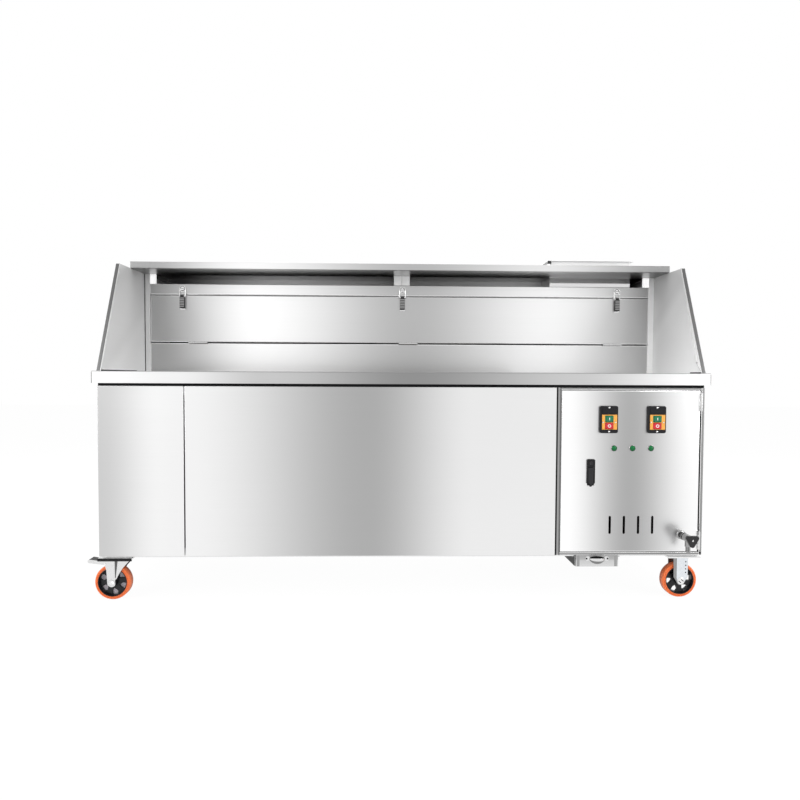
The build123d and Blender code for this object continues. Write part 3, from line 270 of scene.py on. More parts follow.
def placed(origin, x=(1, 0, 0), z=(0, 0, 1)):
    """Where a shape drawn at the origin goes: its own X and Z directions and its new origin."""
    z = Vector(z).normalized()
    x = Vector(x).normalized()
    turn = Matrix((x, z.cross(x), z)).transposed().to_4x4()
    return Matrix.Translation(Vector(origin)) @ turn


def facing(x, y, z):
    """Place for a shape that stands on a sheet and faces the front."""
    return placed((x, y, z), x=(1, 0, 0), z=(0, -1, 0))


def joined(*shapes):
    """Several shapes as one, each kept as its own shell."""
    whole = bmesh.new()
    for shape in shapes:
        mesh = bpy.data.meshes.new("joining")
        shape.to_mesh(mesh)
        shape.free()
        whole.from_mesh(mesh)
        bpy.data.meshes.remove(mesh)
    return whole


def moved(shape, place):
    """A shape put in its place."""
    bmesh.ops.transform(shape, matrix=place, verts=shape.verts)
    return shape


def raised(shape, place, height):
    """A shape put in its place and lifted along the place's own Z."""
    return moved(shape, place @ Matrix.Translation((0, 0, height)))


def eased(shape, edges, radius, steps, **more):
    """Round some edges of a shape and hand back what the bevel made."""
    return bmesh.ops.bevel(
        shape, geom=edges, offset=radius, segments=steps, profile=0.5, affect="EDGES", **more
    )


def block(low, high, ease=0.0, steps=2):
    """A block between two corners, with its edges eased."""
    shape = bmesh.new()
    bmesh.ops.create_cube(shape, size=1.0)
    span = Vector(high) - Vector(low)
    middle = (Vector(high) + Vector(low)) / 2
    moved(shape, Matrix.Translation(middle) @ Matrix.Diagonal((*span, 1)))
    if ease:
        eased(shape, shape.edges, ease, steps)
    return shape


def plate(outline, thickness, ease=0.0, steps=2):
    """A flat outline, counter-clockwise in X and Y, raised along Z, with its rims eased."""
    shape = bmesh.new()
    foot = shape.faces.new([shape.verts.new((x, y, 0)) for x, y in outline])
    lifted = bmesh.ops.extrude_face_region(shape, geom=[foot])["geom"]
    top = [v for v in lifted if isinstance(v, bmesh.types.BMVert)]
    bmesh.ops.translate(shape, vec=(0, 0, thickness), verts=top)
    bmesh.ops.recalc_face_normals(shape, faces=shape.faces)
    if ease:
        rims = [e for e in shape.edges if abs(e.verts[0].co.z - e.verts[1].co.z) < thickness / 2]
        eased(shape, rims, ease, steps)
    return shape


def turned(profile, segments=48):
    """A profile of radius and height pairs turned about Z. Points on the axis close it."""
    shape = bmesh.new()
    rings = []
    for radius, height in profile:
        if radius < WELD:
            rings.append([shape.verts.new((0, 0, height))])
            continue
        angles = [2 * math.pi * k / segments for k in range(segments)]
        rings.append([shape.verts.new((radius * math.cos(a), radius * math.sin(a), height)) for a in angles])
    for low, high in zip(rings, rings[1:]):
        for k in range(segments):
            n = (k + 1) % segments
            corners = [low[k % len(low)], low[n % len(low)], high[n % len(high)], high[k % len(high)]]
            shape.faces.new(list(dict.fromkeys(corners)))
    bmesh.ops.recalc_face_normals(shape, faces=shape.faces)
    return shape


def turned_ring(profile, segments=64):
    """A closed profile of radius and height pairs turned about Z into a ring."""
    shape = turned([*profile, profile[0]], segments)
    bmesh.ops.remove_doubles(shape, verts=shape.verts, dist=WELD)
    bmesh.ops.recalc_face_normals(shape, faces=shape.faces)
    return shape


def puck(radius, low, high, sides=32):
    """A plain round bar or disc about Z, between two heights."""
    return turned([(0, low), (radius, low), (radius, high), (0, high)], sides)


def rod(start, end, radius, sides=12):
    """A round bar between two points."""
    run = Vector(end) - Vector(start)
    return moved(puck(radius, 0, run.length, sides), placed(start, run.orthogonal(), run))


def rounded(width, height, radius, steps=5):
    """Outline of a rectangle about the origin with round corners."""
    points = []
    for k, (sx, sy) in enumerate(((1, 1), (-1, 1), (-1, -1), (1, -1))):
        centre = (sx * (width / 2 - radius), sy * (height / 2 - radius))
        for j in range(steps + 1):
            angle = math.pi / 2 * (k + j / steps)
            points.append((centre[0] + radius * math.cos(angle), centre[1] + radius * math.sin(angle)))
    return points


def hexagon(radius, height, ease=0.0006):
    """A hexagon nut or head that stands on Z = 0."""
    angles = [math.pi / 3 * k for k in range(6)]
    outline = [(radius * math.cos(a), radius * math.sin(a)) for a in angles]
    return plate(outline, height, ease=ease, steps=1)


def pan_screw(radius, height):
    """A domed screw head that stands on Z = 0, with a round recess for the driver."""
    dome = [(radius, 0.0), (radius, height * 0.35), (radius * 0.8, height * 0.8), (radius * 0.45, height)]
    recess = [(radius * 0.38, height), (radius * 0.2, height * 0.45), (0.0, height * 0.4)]
    return turned([(0.0, 0.0), *dome, *recess], segments=20)


def hex_bolt(radius, height):
    """A hexagon head with a chamfered crown and a washer under it, standing on Z = 0."""
    washer = puck(radius * 1.35, 0, height * 0.2, 24)
    head = hexagon(radius, height * 0.8, radius * 0.12)
    return joined(washer, raised(head, Matrix.Identity(4), height * 0.2))


def whole_copy(node):
    """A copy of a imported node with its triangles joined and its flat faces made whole."""
    shape = bmesh.new()
    shape.from_mesh(NODES[node].data)
    bmesh.ops.remove_doubles(shape, verts=shape.verts, dist=WELD)
    flat = math.radians(0.4)
    bmesh.ops.dissolve_limit(shape, angle_limit=flat, verts=shape.verts, edges=shape.edges)
    shape.normal_update()
    return shape


def folded(shape, radius, along, steps=3, slot=0):
    """Round a sheet's outer folds, the sharp convex edges that the test picks, in a finish slot."""
    picked = []
    for edge in shape.edges:
        if len(edge.link_faces) == 2 and edge.is_convex and edge.calc_face_angle(0) > SMOOTH_ANGLE:
            if along(edge.verts[0].co, edge.verts[1].co):
                picked.append(edge)
    for face in eased(shape, picked, radius, steps, clamp_overlap=False)["faces"]:
        face.material_index = slot
    return shape


def islands(node):
    """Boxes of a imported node's separate solids, from left to right."""
    shape = whole_copy(node)
    left = set(shape.verts)
    boxes = []
    while left:
        reached, todo = set(), [left.pop()]
        while todo:
            vert = todo.pop()
            reached.add(vert)
            near = {edge.other_vert(vert) for edge in vert.link_edges} & left
            left -= near
            todo.extend(near)
        corners = [[v.co[k] for v in reached] for k in range(3)]
        boxes.append((Vector([min(c) for c in corners]), Vector([max(c) for c in corners])))
    shape.free()
    return sorted(boxes, key=lambda box: tuple(box[0]))


def on_front(node):
    """Test for the edges round the outside of a node's front face."""
    low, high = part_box(node)

    def test(a, b):
        if max(a.y, b.y) > low.y + NEAR:
            return False
        on_end = abs(a.x - b.x) < NEAR and min(a.x - low.x, high.x - a.x) < NEAR
        on_rail = abs(a.z - b.z) < NEAR and min(a.z - low.z, high.z - a.z) < NEAR
        return on_end or on_rail

    return test


def finished(name, shapes, finish, body, slot, stands_for=()):
    """Make one shape or a list of them a finished piece: shaded, at the origin, riding on its body."""
    whole = joined(*shapes) if isinstance(shapes, list) else shapes
    mesh = bpy.data.meshes.new(name)
    whole.to_mesh(mesh)
    whole.free()
    made = bpy.data.objects.new(name, mesh)
    bpy.context.scene.collection.objects.link(made)
    for one in finish if isinstance(finish, tuple) else (finish,):
        mesh.materials.append(one)
    mesh.shade_smooth()
    mesh.set_sharp_from_angle(angle=SMOOTH_ANGLE)
    made.modifiers.new("face weight", "WEIGHTED_NORMAL").keep_sharp = True
    graph = bpy.context.evaluated_depsgraph_get()
    baked = bpy.data.meshes.new_from_object(made.evaluated_get(graph))
    made.modifiers.clear()
    made.data = baked
    baked.name = made.name
    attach(made, body)
    if stands_for:
        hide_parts(*stands_for)


def stand_in(name, node, shapes, finish):
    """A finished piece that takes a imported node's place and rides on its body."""
    finished(name, shapes, finish, BODIES[node], SLOTS[node], (node,))


def dressed(node, finish, folds=0.0, along=None, ease=0.0, pick=None, fold_slot=0):
    """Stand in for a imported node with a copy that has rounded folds, eased rims and smooth rounds.

    Of several finishes, pick gives a face's slot and the folds take their own.
    """
    shape = whole_copy(node)
    if pick:
        for face in shape.faces:
            face.material_index = pick(face)
    if folds:
        folded(shape, folds, along or on_front(node), slot=fold_slot)
    if ease:
        folded(shape, ease, lambda a, b: (a - b).length > 8 * ease, steps=2, slot=fold_slot)
    stand_in(node + "_dressed", node, shape, finish)


def coated(finish, *nodes):
    """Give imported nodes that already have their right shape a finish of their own."""
    for node in nodes:
        slots = NODES[node].data.materials
        slots.clear()
        slots.append(finish)


# Geometry Nodes: a shape repeated along a line or round a ring


def wired(tree, *pairs):
    """Link pairs of sockets in a tree."""
    for start, end in pairs:
        tree.links.new(start, end)


def new_tree(name, size, kind):
    """A tree whose inputs are a shape, the number of copies, one size and the copies' finish."""
    tree = bpy.data.node_groups.new(name, "GeometryNodeTree")
    inputs = {"Geometry": "Geometry", "Count": "Int", size: kind, "Finish": "Material"}
    for label, socket in inputs.items():
        tree.interface.new_socket(label, in_out="INPUT", socket_type="NodeSocket" + socket)
    tree.interface.new_socket("Geometry", in_out="OUTPUT", socket_type="NodeSocketGeometry")
    return tree, tree.nodes.new("NodeGroupInput")


def finish_tree(tree, source, points, turn=None):
    """Set the input shape on every point, make the copies real and give them their finish."""
    copies = tree.nodes.new("GeometryNodeInstanceOnPoints")
    real = tree.nodes.new("GeometryNodeRealizeInstances")
    painted = tree.nodes.new("GeometryNodeSetMaterial")
    result = tree.nodes.new("NodeGroupOutput")
    wired(
        tree,
        (points, copies.inputs["Points"]),
        (source.outputs["Geometry"], copies.inputs["Instance"]),
        (copies.outputs[0], real.inputs[0]),
        (real.outputs[0], painted.inputs["Geometry"]),
        (source.outputs["Finish"], painted.inputs["Material"]),
        (painted.outputs[0], result.inputs[0]),
    )
    if turn:
        tree.links.new(turn, copies.inputs["Rotation"])
    return tree


def row_tree():
    """Copies along a straight line, a step apart."""
    tree, source = new_tree("row of copies", "Step", "Vector")
    line = tree.nodes.new("GeometryNodeMeshLine")
    wired(
        tree,
        (source.outputs["Count"], line.inputs["Count"]),
        (source.outputs["Step"], line.inputs["Offset"]),
    )
    return finish_tree(tree, source, line.outputs[0])


def ring_tree():
    """Copies round the Z axis, each turned to face outwards along its own X."""
    tree, source = new_tree("ring of copies", "Radius", "Float")
    circle = tree.nodes.new("GeometryNodeMeshCircle")
    index = tree.nodes.new("GeometryNodeInputIndex")
    part_turn = tree.nodes.new("ShaderNodeMath")
    part_turn.operation = "DIVIDE"
    part_turn.inputs[0].default_value = 2 * math.pi
    angle = tree.nodes.new("ShaderNodeMath")
    angle.operation = "MULTIPLY"
    euler = tree.nodes.new("ShaderNodeCombineXYZ")
    wired(
        tree,
        (source.outputs["Count"], circle.inputs["Vertices"]),
        (source.outputs["Radius"], circle.inputs["Radius"]),
        (source.outputs["Count"], part_turn.inputs[1]),
        (index.outputs[0], angle.inputs[0]),
        (part_turn.outputs[0], angle.inputs[1]),
        (angle.outputs[0], euler.inputs["Z"]),
    )
    return finish_tree(tree, source, circle.outputs[0], euler.outputs[0])


def repeated(tree, shape, place, **sizes):
    """Run a tree on a shape, turn the result into a plain shape and put it in its place."""
    mesh = bpy.data.meshes.new("one")
    shape.to_mesh(mesh)
    shape.free()
    carrier = bpy.data.objects.new("copies", mesh)
    bpy.context.scene.collection.objects.link(carrier)
    modifier = carrier.modifiers.new("copies", "NODES")
    modifier.node_group = tree
    for item in tree.interface.items_tree:
        if item.in_out == "INPUT" and item.name in sizes:
            modifier[item.identifier] = sizes[item.name]
    graph = bpy.context.evaluated_depsgraph_get()
    result = bpy.data.meshes.new_from_object(carrier.evaluated_get(graph))
    carrier.modifiers.remove(modifier)
    bpy.data.objects.remove(carrier)
    result.transform(place)
    copies = bmesh.new()
    copies.from_mesh(result)
    bpy.data.meshes.remove(result)
    return copies


ROW = row_tree()
RING = ring_tree()


# Settings


def metres(name, description, default):
    """A size in metres."""
    return FloatProperty(name=name, description=description, unit="LENGTH", default=default)


def paint(name, description, default):
    """A colour in linear light."""
    return FloatVectorProperty(name=name, description=description, subtype="COLOR", default=default)


class StageSettings(bpy.types.PropertyGroup):
    """Where the picture is taken from and how the studio is lit."""

    place: FloatVectorProperty(
        name="Camera Place",
        description="Where the camera stands",
        unit="LENGTH",
        default=(-0.0481, -2.3781, 0.7399),
    )
    yaw: FloatProperty(name="Yaw", description="Turn to the right", subtype="ANGLE", default=0.0255)
    pitch: FloatProperty(name="Pitch", description="Tilt down", subtype="ANGLE", default=0.0363)
    roll: FloatProperty(name="Roll", description="Lean to the left", subtype="ANGLE", default=0.0043)
    lens: FloatProperty(
        name="Lens", description="Focal length on a 36 mm sensor", unit="CAMERA", default=28.8
    )
    ambient: FloatProperty(name="Ambient", description="World light on matt surfaces", default=0.5)
    side_shade: FloatProperty(name="Side Shade", description="Darker sides in the reflections", default=0.12)
    floor_show: FloatProperty(name="Floor White", description="How white the floor shows", default=0.93)


class SheetSettings(bpy.types.PropertyGroup):
    """How the stainless sheets are folded."""

    fold: metres("Fold Radius", "Outer radius of the folds", 0.003)
    counter_fold: metres("Counter Fold", "Folds of the counter", 0.0022)
    crisp_fold: metres("Crisp Fold", "Folds of the front pans", 0.0012)
    rim: metres("Rim Ease", "Rounding of cut rims", 0.0006)
    frame_ease: metres("Frame Ease", "Rounding of the door frame", 0.0014)
    hem: metres("Hem", "Radius of the shields' hem", 0.0016)
    # share of each shield's foot that has a black strip painted as its shadow
    shadow_share: FloatVectorProperty(
        name="Foot Shadows", description="Share of each shield's foot with a seal", size=2, default=(0.45, 0.12)
    )
    screws: IntProperty(name="Screws", description="Screws along each edge of a back panel", default=8)


# Stage


class BARBECUE_OT_stage(bpy.types.Operator):
    """Set up the camera, the white floor, the world and the soft lamps"""

    bl_idname = "barbecue.stage"
    bl_label = "Stage"

    def execute(self, context):
        settings = context.scene.barbecue_stage
        context.scene.view_settings.view_transform = "Standard"
        set_camera(context.scene, settings)
        set_world(context.scene, settings)
        lay_floor(settings)
        hang_lamp("overhead", (0.2, -0.6, 3.6), (0.1, 0.0, 0.7), (4.5, 2.4), 85.0, mirrored=False)
        hang_lamp("left_front", (-3.4, -2.6, 2.2), (0.0, 0.0, 0.7), (1.6, 2.6), 60.0)
        hang_lamp("right_front", (3.4, -2.4, 1.9), (0.0, 0.0, 0.7), (1.4, 2.6), 55.0)
        hang_lamp("behind", (0.4, 3.4, 2.4), (0.0, 0.2, 0.7), (3.0, 1.8), 60.0)
        return {"FINISHED"}


def swung(angle, first, second):
    """Two directions swung in their plane by an angle."""
    c, s = math.cos(angle), math.sin(angle)
    return c * first - s * second, s * first + c * second


def set_camera(scene, settings):
    """The camera at its place, turned by its yaw, pitch and roll."""
    right, down, ahead = Vector((1, 0, 0)), Vector((0, 0, -1)), Vector((0, 1, 0))
    right, ahead = swung(settings.yaw, right, ahead)
    down, ahead = swung(settings.pitch, down, ahead)
    right, down = swung(settings.roll, right, down)
    camera = bpy.data.objects.new("camera", bpy.data.cameras.new("camera"))
    camera.data.lens = settings.lens
    camera.data.sensor_width = 36.0
    turn = Matrix((right, -down, -ahead)).transposed().to_4x4()
    camera.matrix_world = Matrix.Translation(settings.place) @ turn
    scene.collection.objects.link(camera)
    scene.camera = camera


def seen_directly(finish):
    """1 for what the camera, metal and glass see, and 0 for light that falls on matt surfaces."""
    camera = finish.node("ShaderNodeLightPath", output="Is Camera Ray")
    glossy = finish.node("ShaderNodeLightPath", output="Is Glossy Ray")
    clear = finish.node("ShaderNodeLightPath", output="Is Transmission Ray")
    return finish.node("ShaderNodeMath", {"operation": "MINIMUM"}, {0: camera + glossy + clear, 1: 1.0})


def set_world(scene, settings):
    """White all round, but darker at both sides in reflections, so that round metal has edges."""
    world = Finish(bpy.data.worlds.new("studio"))
    scene.world = world.owner
    ray = world.node("ShaderNodeTexCoord", output="Generated")
    sideways = world.node("ShaderNodeSeparateXYZ", (), {0: ray}, output="X")
    glossy = world.node("ShaderNodeLightPath", output="Is Glossy Ray")
    shade = glossy * (sideways * sideways) ** 2.0 * settings.side_shade
    strength = settings.ambient + seen_directly(world) * (1.0 - settings.ambient) - shade
    back = world.tree.nodes["Background"]
    world.feed(back.inputs["Color"], (1.0, 1.0, 1.0, 1.0))
    world.feed(back.inputs["Strength"], strength)


def lay_floor(settings):
    """A pale floor that shows white and keeps the cart's soft shadow."""
    half = 14.0
    shape = bmesh.new()
    corners = ((-half, -half), (half, -half), (half, half), (-half, half))
    shape.faces.new([shape.verts.new((x, y, 0)) for x, y in corners])
    mesh = bpy.data.meshes.new("floor")
    shape.to_mesh(mesh)
    shape.free()
    floor = bpy.data.objects.new("floor", mesh)
    bpy.context.scene.collection.objects.link(floor)
    finish = new_finish("pale_floor")
    matt = finish.node("ShaderNodeBsdfDiffuse", (), {"Color": grey(0.95)})
    white = finish.node("ShaderNodeEmission", (), {"Color": (1.0, 1.0, 1.0, 1.0), "Strength": 1.03})
    share = seen_directly(finish) * settings.floor_show
    shown = finish.node("ShaderNodeMixShader", (), {0: share, 1: matt, 2: white})
    finish.feed(finish.tree.nodes["Material Output"].inputs["Surface"], shown)
    mesh.materials.append(finish.owner)


def hang_lamp(name, place, target, size, power, mirrored=True):
    """A soft box that the camera doesn't see, mirrored in the metal or not."""
    lamp = bpy.data.lights.new(name, "AREA")
    lamp.shape = "RECTANGLE"
    lamp.size, lamp.size_y = size
    lamp.energy = power
    stand = bpy.data.objects.new(name, lamp)
    stand.location = place
    stand.rotation_euler = (Vector(target) - Vector(place)).to_track_quat("-Z", "Y").to_euler()
    stand.visible_camera = False
    stand.visible_glossy = mirrored
    bpy.context.scene.collection.objects.link(stand)


# Sheets: each painted sheen is a few tones at shares of the sheet's length, reflection bands painted into the
# colour

REAR_PAINTED_SHEEN = ((0.02, 0.67), (0.22, 1.0), (0.52, 0.72), (0.79, 0.945), (1.0, 0.72))
PAINTED_SHEENS = {
    "left_front_panel": ((0.0, 0.79), (0.72, 0.945), (1.0, 0.94)),
    "centre_front_panel": ((0.0, 0.945), (0.49, 0.675), (0.78, 0.915), (1.0, 0.915)),
    "door_panel": ((0.0, 1.0), (0.5, 0.665), (1.0, 0.965)),
    "control_frame": ((0.0, 0.62), (0.5, 0.56), (1.0, 0.58)),
    "counter": ((0.0, 0.96), (0.13, 0.93), (0.28, 0.78), (0.51, 0.57), (0.78, 0.78), (1.0, 0.95)),
    "canopy": ((0.02, 0.6), (0.22, 0.97), (0.52, 0.72), (0.76, 0.88), (1.0, 0.54)),
    "lower_rear_band": REAR_PAINTED_SHEEN,
    "flap_panel": REAR_PAINTED_SHEEN,
    "upper_rail": REAR_PAINTED_SHEEN,
    "hood_posts": ((0.0, 0.86), (0.4, 0.95), (1.0, 1.0)),
    # the hood back's inside is painted dark, as the shade in the smoke slot
    "hood_back_panel": ((0.05, 0.26), (0.22, 0.45), (0.5, 0.24), (0.78, 0.47), (1.0, 0.3)),
    "left_shield": ((0.0, 0.8), (0.45, 0.88), (0.55, 0.93), (1.0, 1.0)),
    "right_shield": ((0.0, 0.7), (0.45, 0.8), (0.55, 0.86), (1.0, 1.0)),
    "cabinet_end_panels": ((0.0, 0.9), (0.45, 0.66), (1.0, 0.88)),
    "cabinet_back_panel": ((0.0, 0.7), (0.3, 0.93), (0.65, 0.7), (1.0, 0.9)),
    "floor_panel": ((0.0, 0.7), (0.5, 0.85), (1.0, 0.7)),
    "partition": ((0.0, 0.8), (0.5, 0.65), (1.0, 0.8)),
    "exhaust_stack": ((0.0, 1.0), (1.0, 1.0)),
    "drawer_box": ((0.0, 0.84), (0.45, 0.8), (0.7, 0.68), (1.0, 0.64)),
}
PAINTED_SHEEN_AXIS = {"cabinet_end_panels": "Y", "partition": "Y"}
SHIELD_SHARES = (0.55, 0.45)


def lengthwise(node, axis="X"):
    """A painted sheen's course from one end of a node to the other."""
    low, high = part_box(node)
    at = "XYZ".index(axis)
    return lambda finish: finish.share(axis, (low[at], high[at]))


def sheet_finish(node, roughness=0.3, metallic=1.0):
    """The brushed finish of a sheet, its painted sheen laid along the sheet's own length."""
    axis = PAINTED_SHEEN_AXIS.get(node, "X")
    grain = GRAIN_ALONG_Y if axis == "Y" else GRAIN_ALONG_X
    return brushed_sheet(node + "_steel", PAINTED_SHEENS[node], lengthwise(node, axis), grain, roughness, metallic)


def shield_finish(node, rear_first):
    """The finish of a side shield, whose painted sheen, light and shade painted into its colour, crosses the
    sheet between opposite corners.
    """
    low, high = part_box(node)

    def course(finish):
        back = finish.share("Y", (high.y, low.y) if rear_first else (low.y, high.y))
        fall = 1.0 - finish.share("Z", (low.z, high.z))
        return back * SHIELD_SHARES[0] + fall * SHIELD_SHARES[1]

    return brushed_sheet(node + "_steel", PAINTED_SHEENS[node], course, GRAIN_ALONG_Y, 0.45, 0.3)


class BARBECUE_OT_cabinet(bpy.types.Operator):
    """Dress the cabinet: front pans, door and its frame, ends, back, floor, tubes, painted shadows and screws"""

    bl_idname = "barbecue.cabinet"
    bl_label = "Cabinet"

    def execute(self, context):
        sheets = context.scene.barbecue_sheets
        # painted highlight: a white steel tone on the folds of the door and the edges of its frame
        painted_glint = plain_steel("panel_painted_glint", 1.0, 0.22)
        for node in ("left_front_panel", "centre_front_panel"):
            dressed(node, sheet_finish(node), folds=sheets.crisp_fold)
        dressed("door_panel", (sheet_finish("door_panel"), painted_glint), folds=sheets.fold, fold_slot=1)
        dressed("control_frame", (sheet_finish("control_frame"), painted_glint), ease=sheets.frame_ease, fold_slot=1)
        for node in ("cabinet_end_panels", "cabinet_back_panel", "floor_panel", "partition"):
            dressed(node, sheet_finish(node), ease=sheets.rim)
        tube = plain_steel("frame_tube", 0.9, grain=(200.0, 200.0, 200.0))
        # painted shade: the frame's faces round the drawer are painted nearly black, as the shade beside it
        drawer_shade = plain_steel("drawer_shade_steel", 0.17, 0.5)
        low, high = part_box("drawer_box")
        margin = 0.03

        def by_drawer(face):
            at = face.calc_center_median()
            return int(low.x - margin < at.x < high.x + margin and at.z < high.z + margin)

        dressed("base_frame", (tube, drawer_shade), ease=sheets.rim, pick=by_drawer)
        self.shade_seams()
        self.drive_screws(sheets.screws)
        return {"FINISHED"}

    def shade_seams(self):
        """Painted shadows: black strips in the gap under the counter's edge and in the seams round the door, a
        black bead in the seam by the door frame, and a small black plug in the corner.
        """
        shadow_black = moulded("seam_shadow_black", DEEP_BLACK, 0.6, gloss=0.15)
        panel, centre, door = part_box("left_front_panel"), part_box("centre_front_panel"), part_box("door_panel")
        left, lower, upper, hinge = islands("control_frame")
        front, back = panel[0].y + 0.0025, panel[1].y - 0.0005
        play, inset, hinge_gap, clear = 0.0002, 0.002, 0.0012, 0.006
        spans = [
            ((panel[0].x + inset, hinge[1].x - inset), (panel[1].z + play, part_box("counter")[0].z)),
            ((centre[1].x + play, left[0].x - play), (panel[0].z, panel[1].z)),
            ((left[1].x + play, door[0].x - 2 * play), (door[0].z, door[1].z)),
            ((door[0].x, door[1].x), (lower[1].z + play, door[0].z - 2 * play)),
            ((door[0].x, door[1].x), (door[1].z + 2 * play, upper[0].z - play)),
        ]
        foot, head = islands("door_hinge_fixed")
        spans.append(((door[1].x + hinge_gap, hinge[0].x - play), (foot[1].z + clear, head[0].z - clear)))
        # painted shadow: black strips in the gaps and seams
        shadow_fills = [block((x[0], front, z[0]), (x[1], back, z[1])) for x, z in spans]
        radius, shoulder, rise = 0.0036, 0.0008, 0.0014
        plug = turned([(0, 0), (radius, 0), (radius, shoulder), (radius * 0.7, rise), (0, rise)], 20)
        corner = facing(hinge[1].x - 0.0062, hinge[0].y, hinge[0].z + 0.0065)
        shadow_fills.append(moved(plug, corner))
        shadow_fills.append(self.seam_shade_bead((centre[1].x + left[0].x) / 2, 0.0052, left))
        finished("seam_shadows", shadow_fills, shadow_black, "root", "black_plastic")
        # painted shade: a darker steel bead along the stile, beside the door's gap
        lip = plain_steel("stile_lip_shade", 0.45)
        finished("stile_lip_shade", self.seam_shade_bead(left[1].x - 0.0016, 0.0042, left), lip, "root", "stainless")

    def seam_shade_bead(self, x, width, stile):
        """A low bead that runs the height of the door frame's left stile, to carry painted shade."""
        low, high = stile
        half, proud, margin = width / 2, 0.0007, 0.0006
        foot = (x - half, low.y - proud, low.z + margin)
        head = (x + half, low.y + margin, high.z - margin)
        return block(foot, head, 0.0003)

    def drive_screws(self, count):
        """Rows of screws along the edges of the back panels and the end panels."""
        steel = plain_steel("panel_screws", 0.84, 0.22)
        inset = 0.014
        rows = []
        for node in ("cabinet_back_panel", "hood_back_panel", "cabinet_end_panels"):
            low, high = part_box(node)
            if node == "cabinet_end_panels":
                along, reach = (0, 1, 0), high.y - low.y
                starts = [((x, low.y + inset), (side, 0, 0)) for x, side in ((low.x, -1), (high.x, 1))]
            else:
                along, reach = (1, 0, 0), high.x - low.x
                starts = [((low.x + inset, high.y), (0, 1, 0))]
            step = ((reach - 2 * inset) / (count - 1), 0, 0)
            for start, outwards in starts:
                for z in (low.z + inset, high.z - inset):
                    turn = placed((*start, z), along, outwards)
                    rows.append(repeated(ROW, pan_screw(0.0045, 0.0022), turn, Count=count, Step=step))
        finished("panel_screws", rows, steel, "root", "bright_metal")


class BARBECUE_OT_counter(bpy.types.Operator):
    """Dress the counter, the firebox under it and the grates"""

    bl_idname = "barbecue.counter"
    bl_label = "Counter and Fire"

    def execute(self, context):
        sheets = context.scene.barbecue_sheets
        low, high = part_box("counter")

        def outer_folds(a, b):
            on_top = min(a.z, b.z) > high.z - NEAR
            at_side = all(min(p.x - low.x, high.x - p.x, p.y - low.y, high.y - p.y) < NEAR for p in (a, b))
            upright = abs(a.z - b.z) > 0.02
            return at_side and (on_top or upright)

        # painted shade: the counter's folds take a darker steel tone, drawn as grey outlines
        finish = (sheet_finish("counter"), plain_steel("counter_fold", 0.62))
        dressed("counter", finish, folds=sheets.counter_fold, along=outer_folds, fold_slot=1)
        dressed("firebox", fire_steel("firebox_steel", 0.5), ease=sheets.rim)
        coated(fire_steel("charcoal_plate", 0.4), "charcoal_grate")
        rods = fire_steel("grate_rods", 0.72)
        for node in ("grill_grate_left", "grill_grate_right"):
            dressed(node, rods)
        return {"FINISHED"}


def front_edge(node, inner):
    """Points up the front edge of a shield's inner face."""
    shape = whole_copy(node)
    points = []
    for vert in shape.verts:
        if abs(vert.co.x - inner) < NEAR and any(face.normal.y < -0.5 for face in vert.link_faces):
            points.append(vert.co.copy())
    shape.free()
    return sorted(points, key=lambda point: point.z)


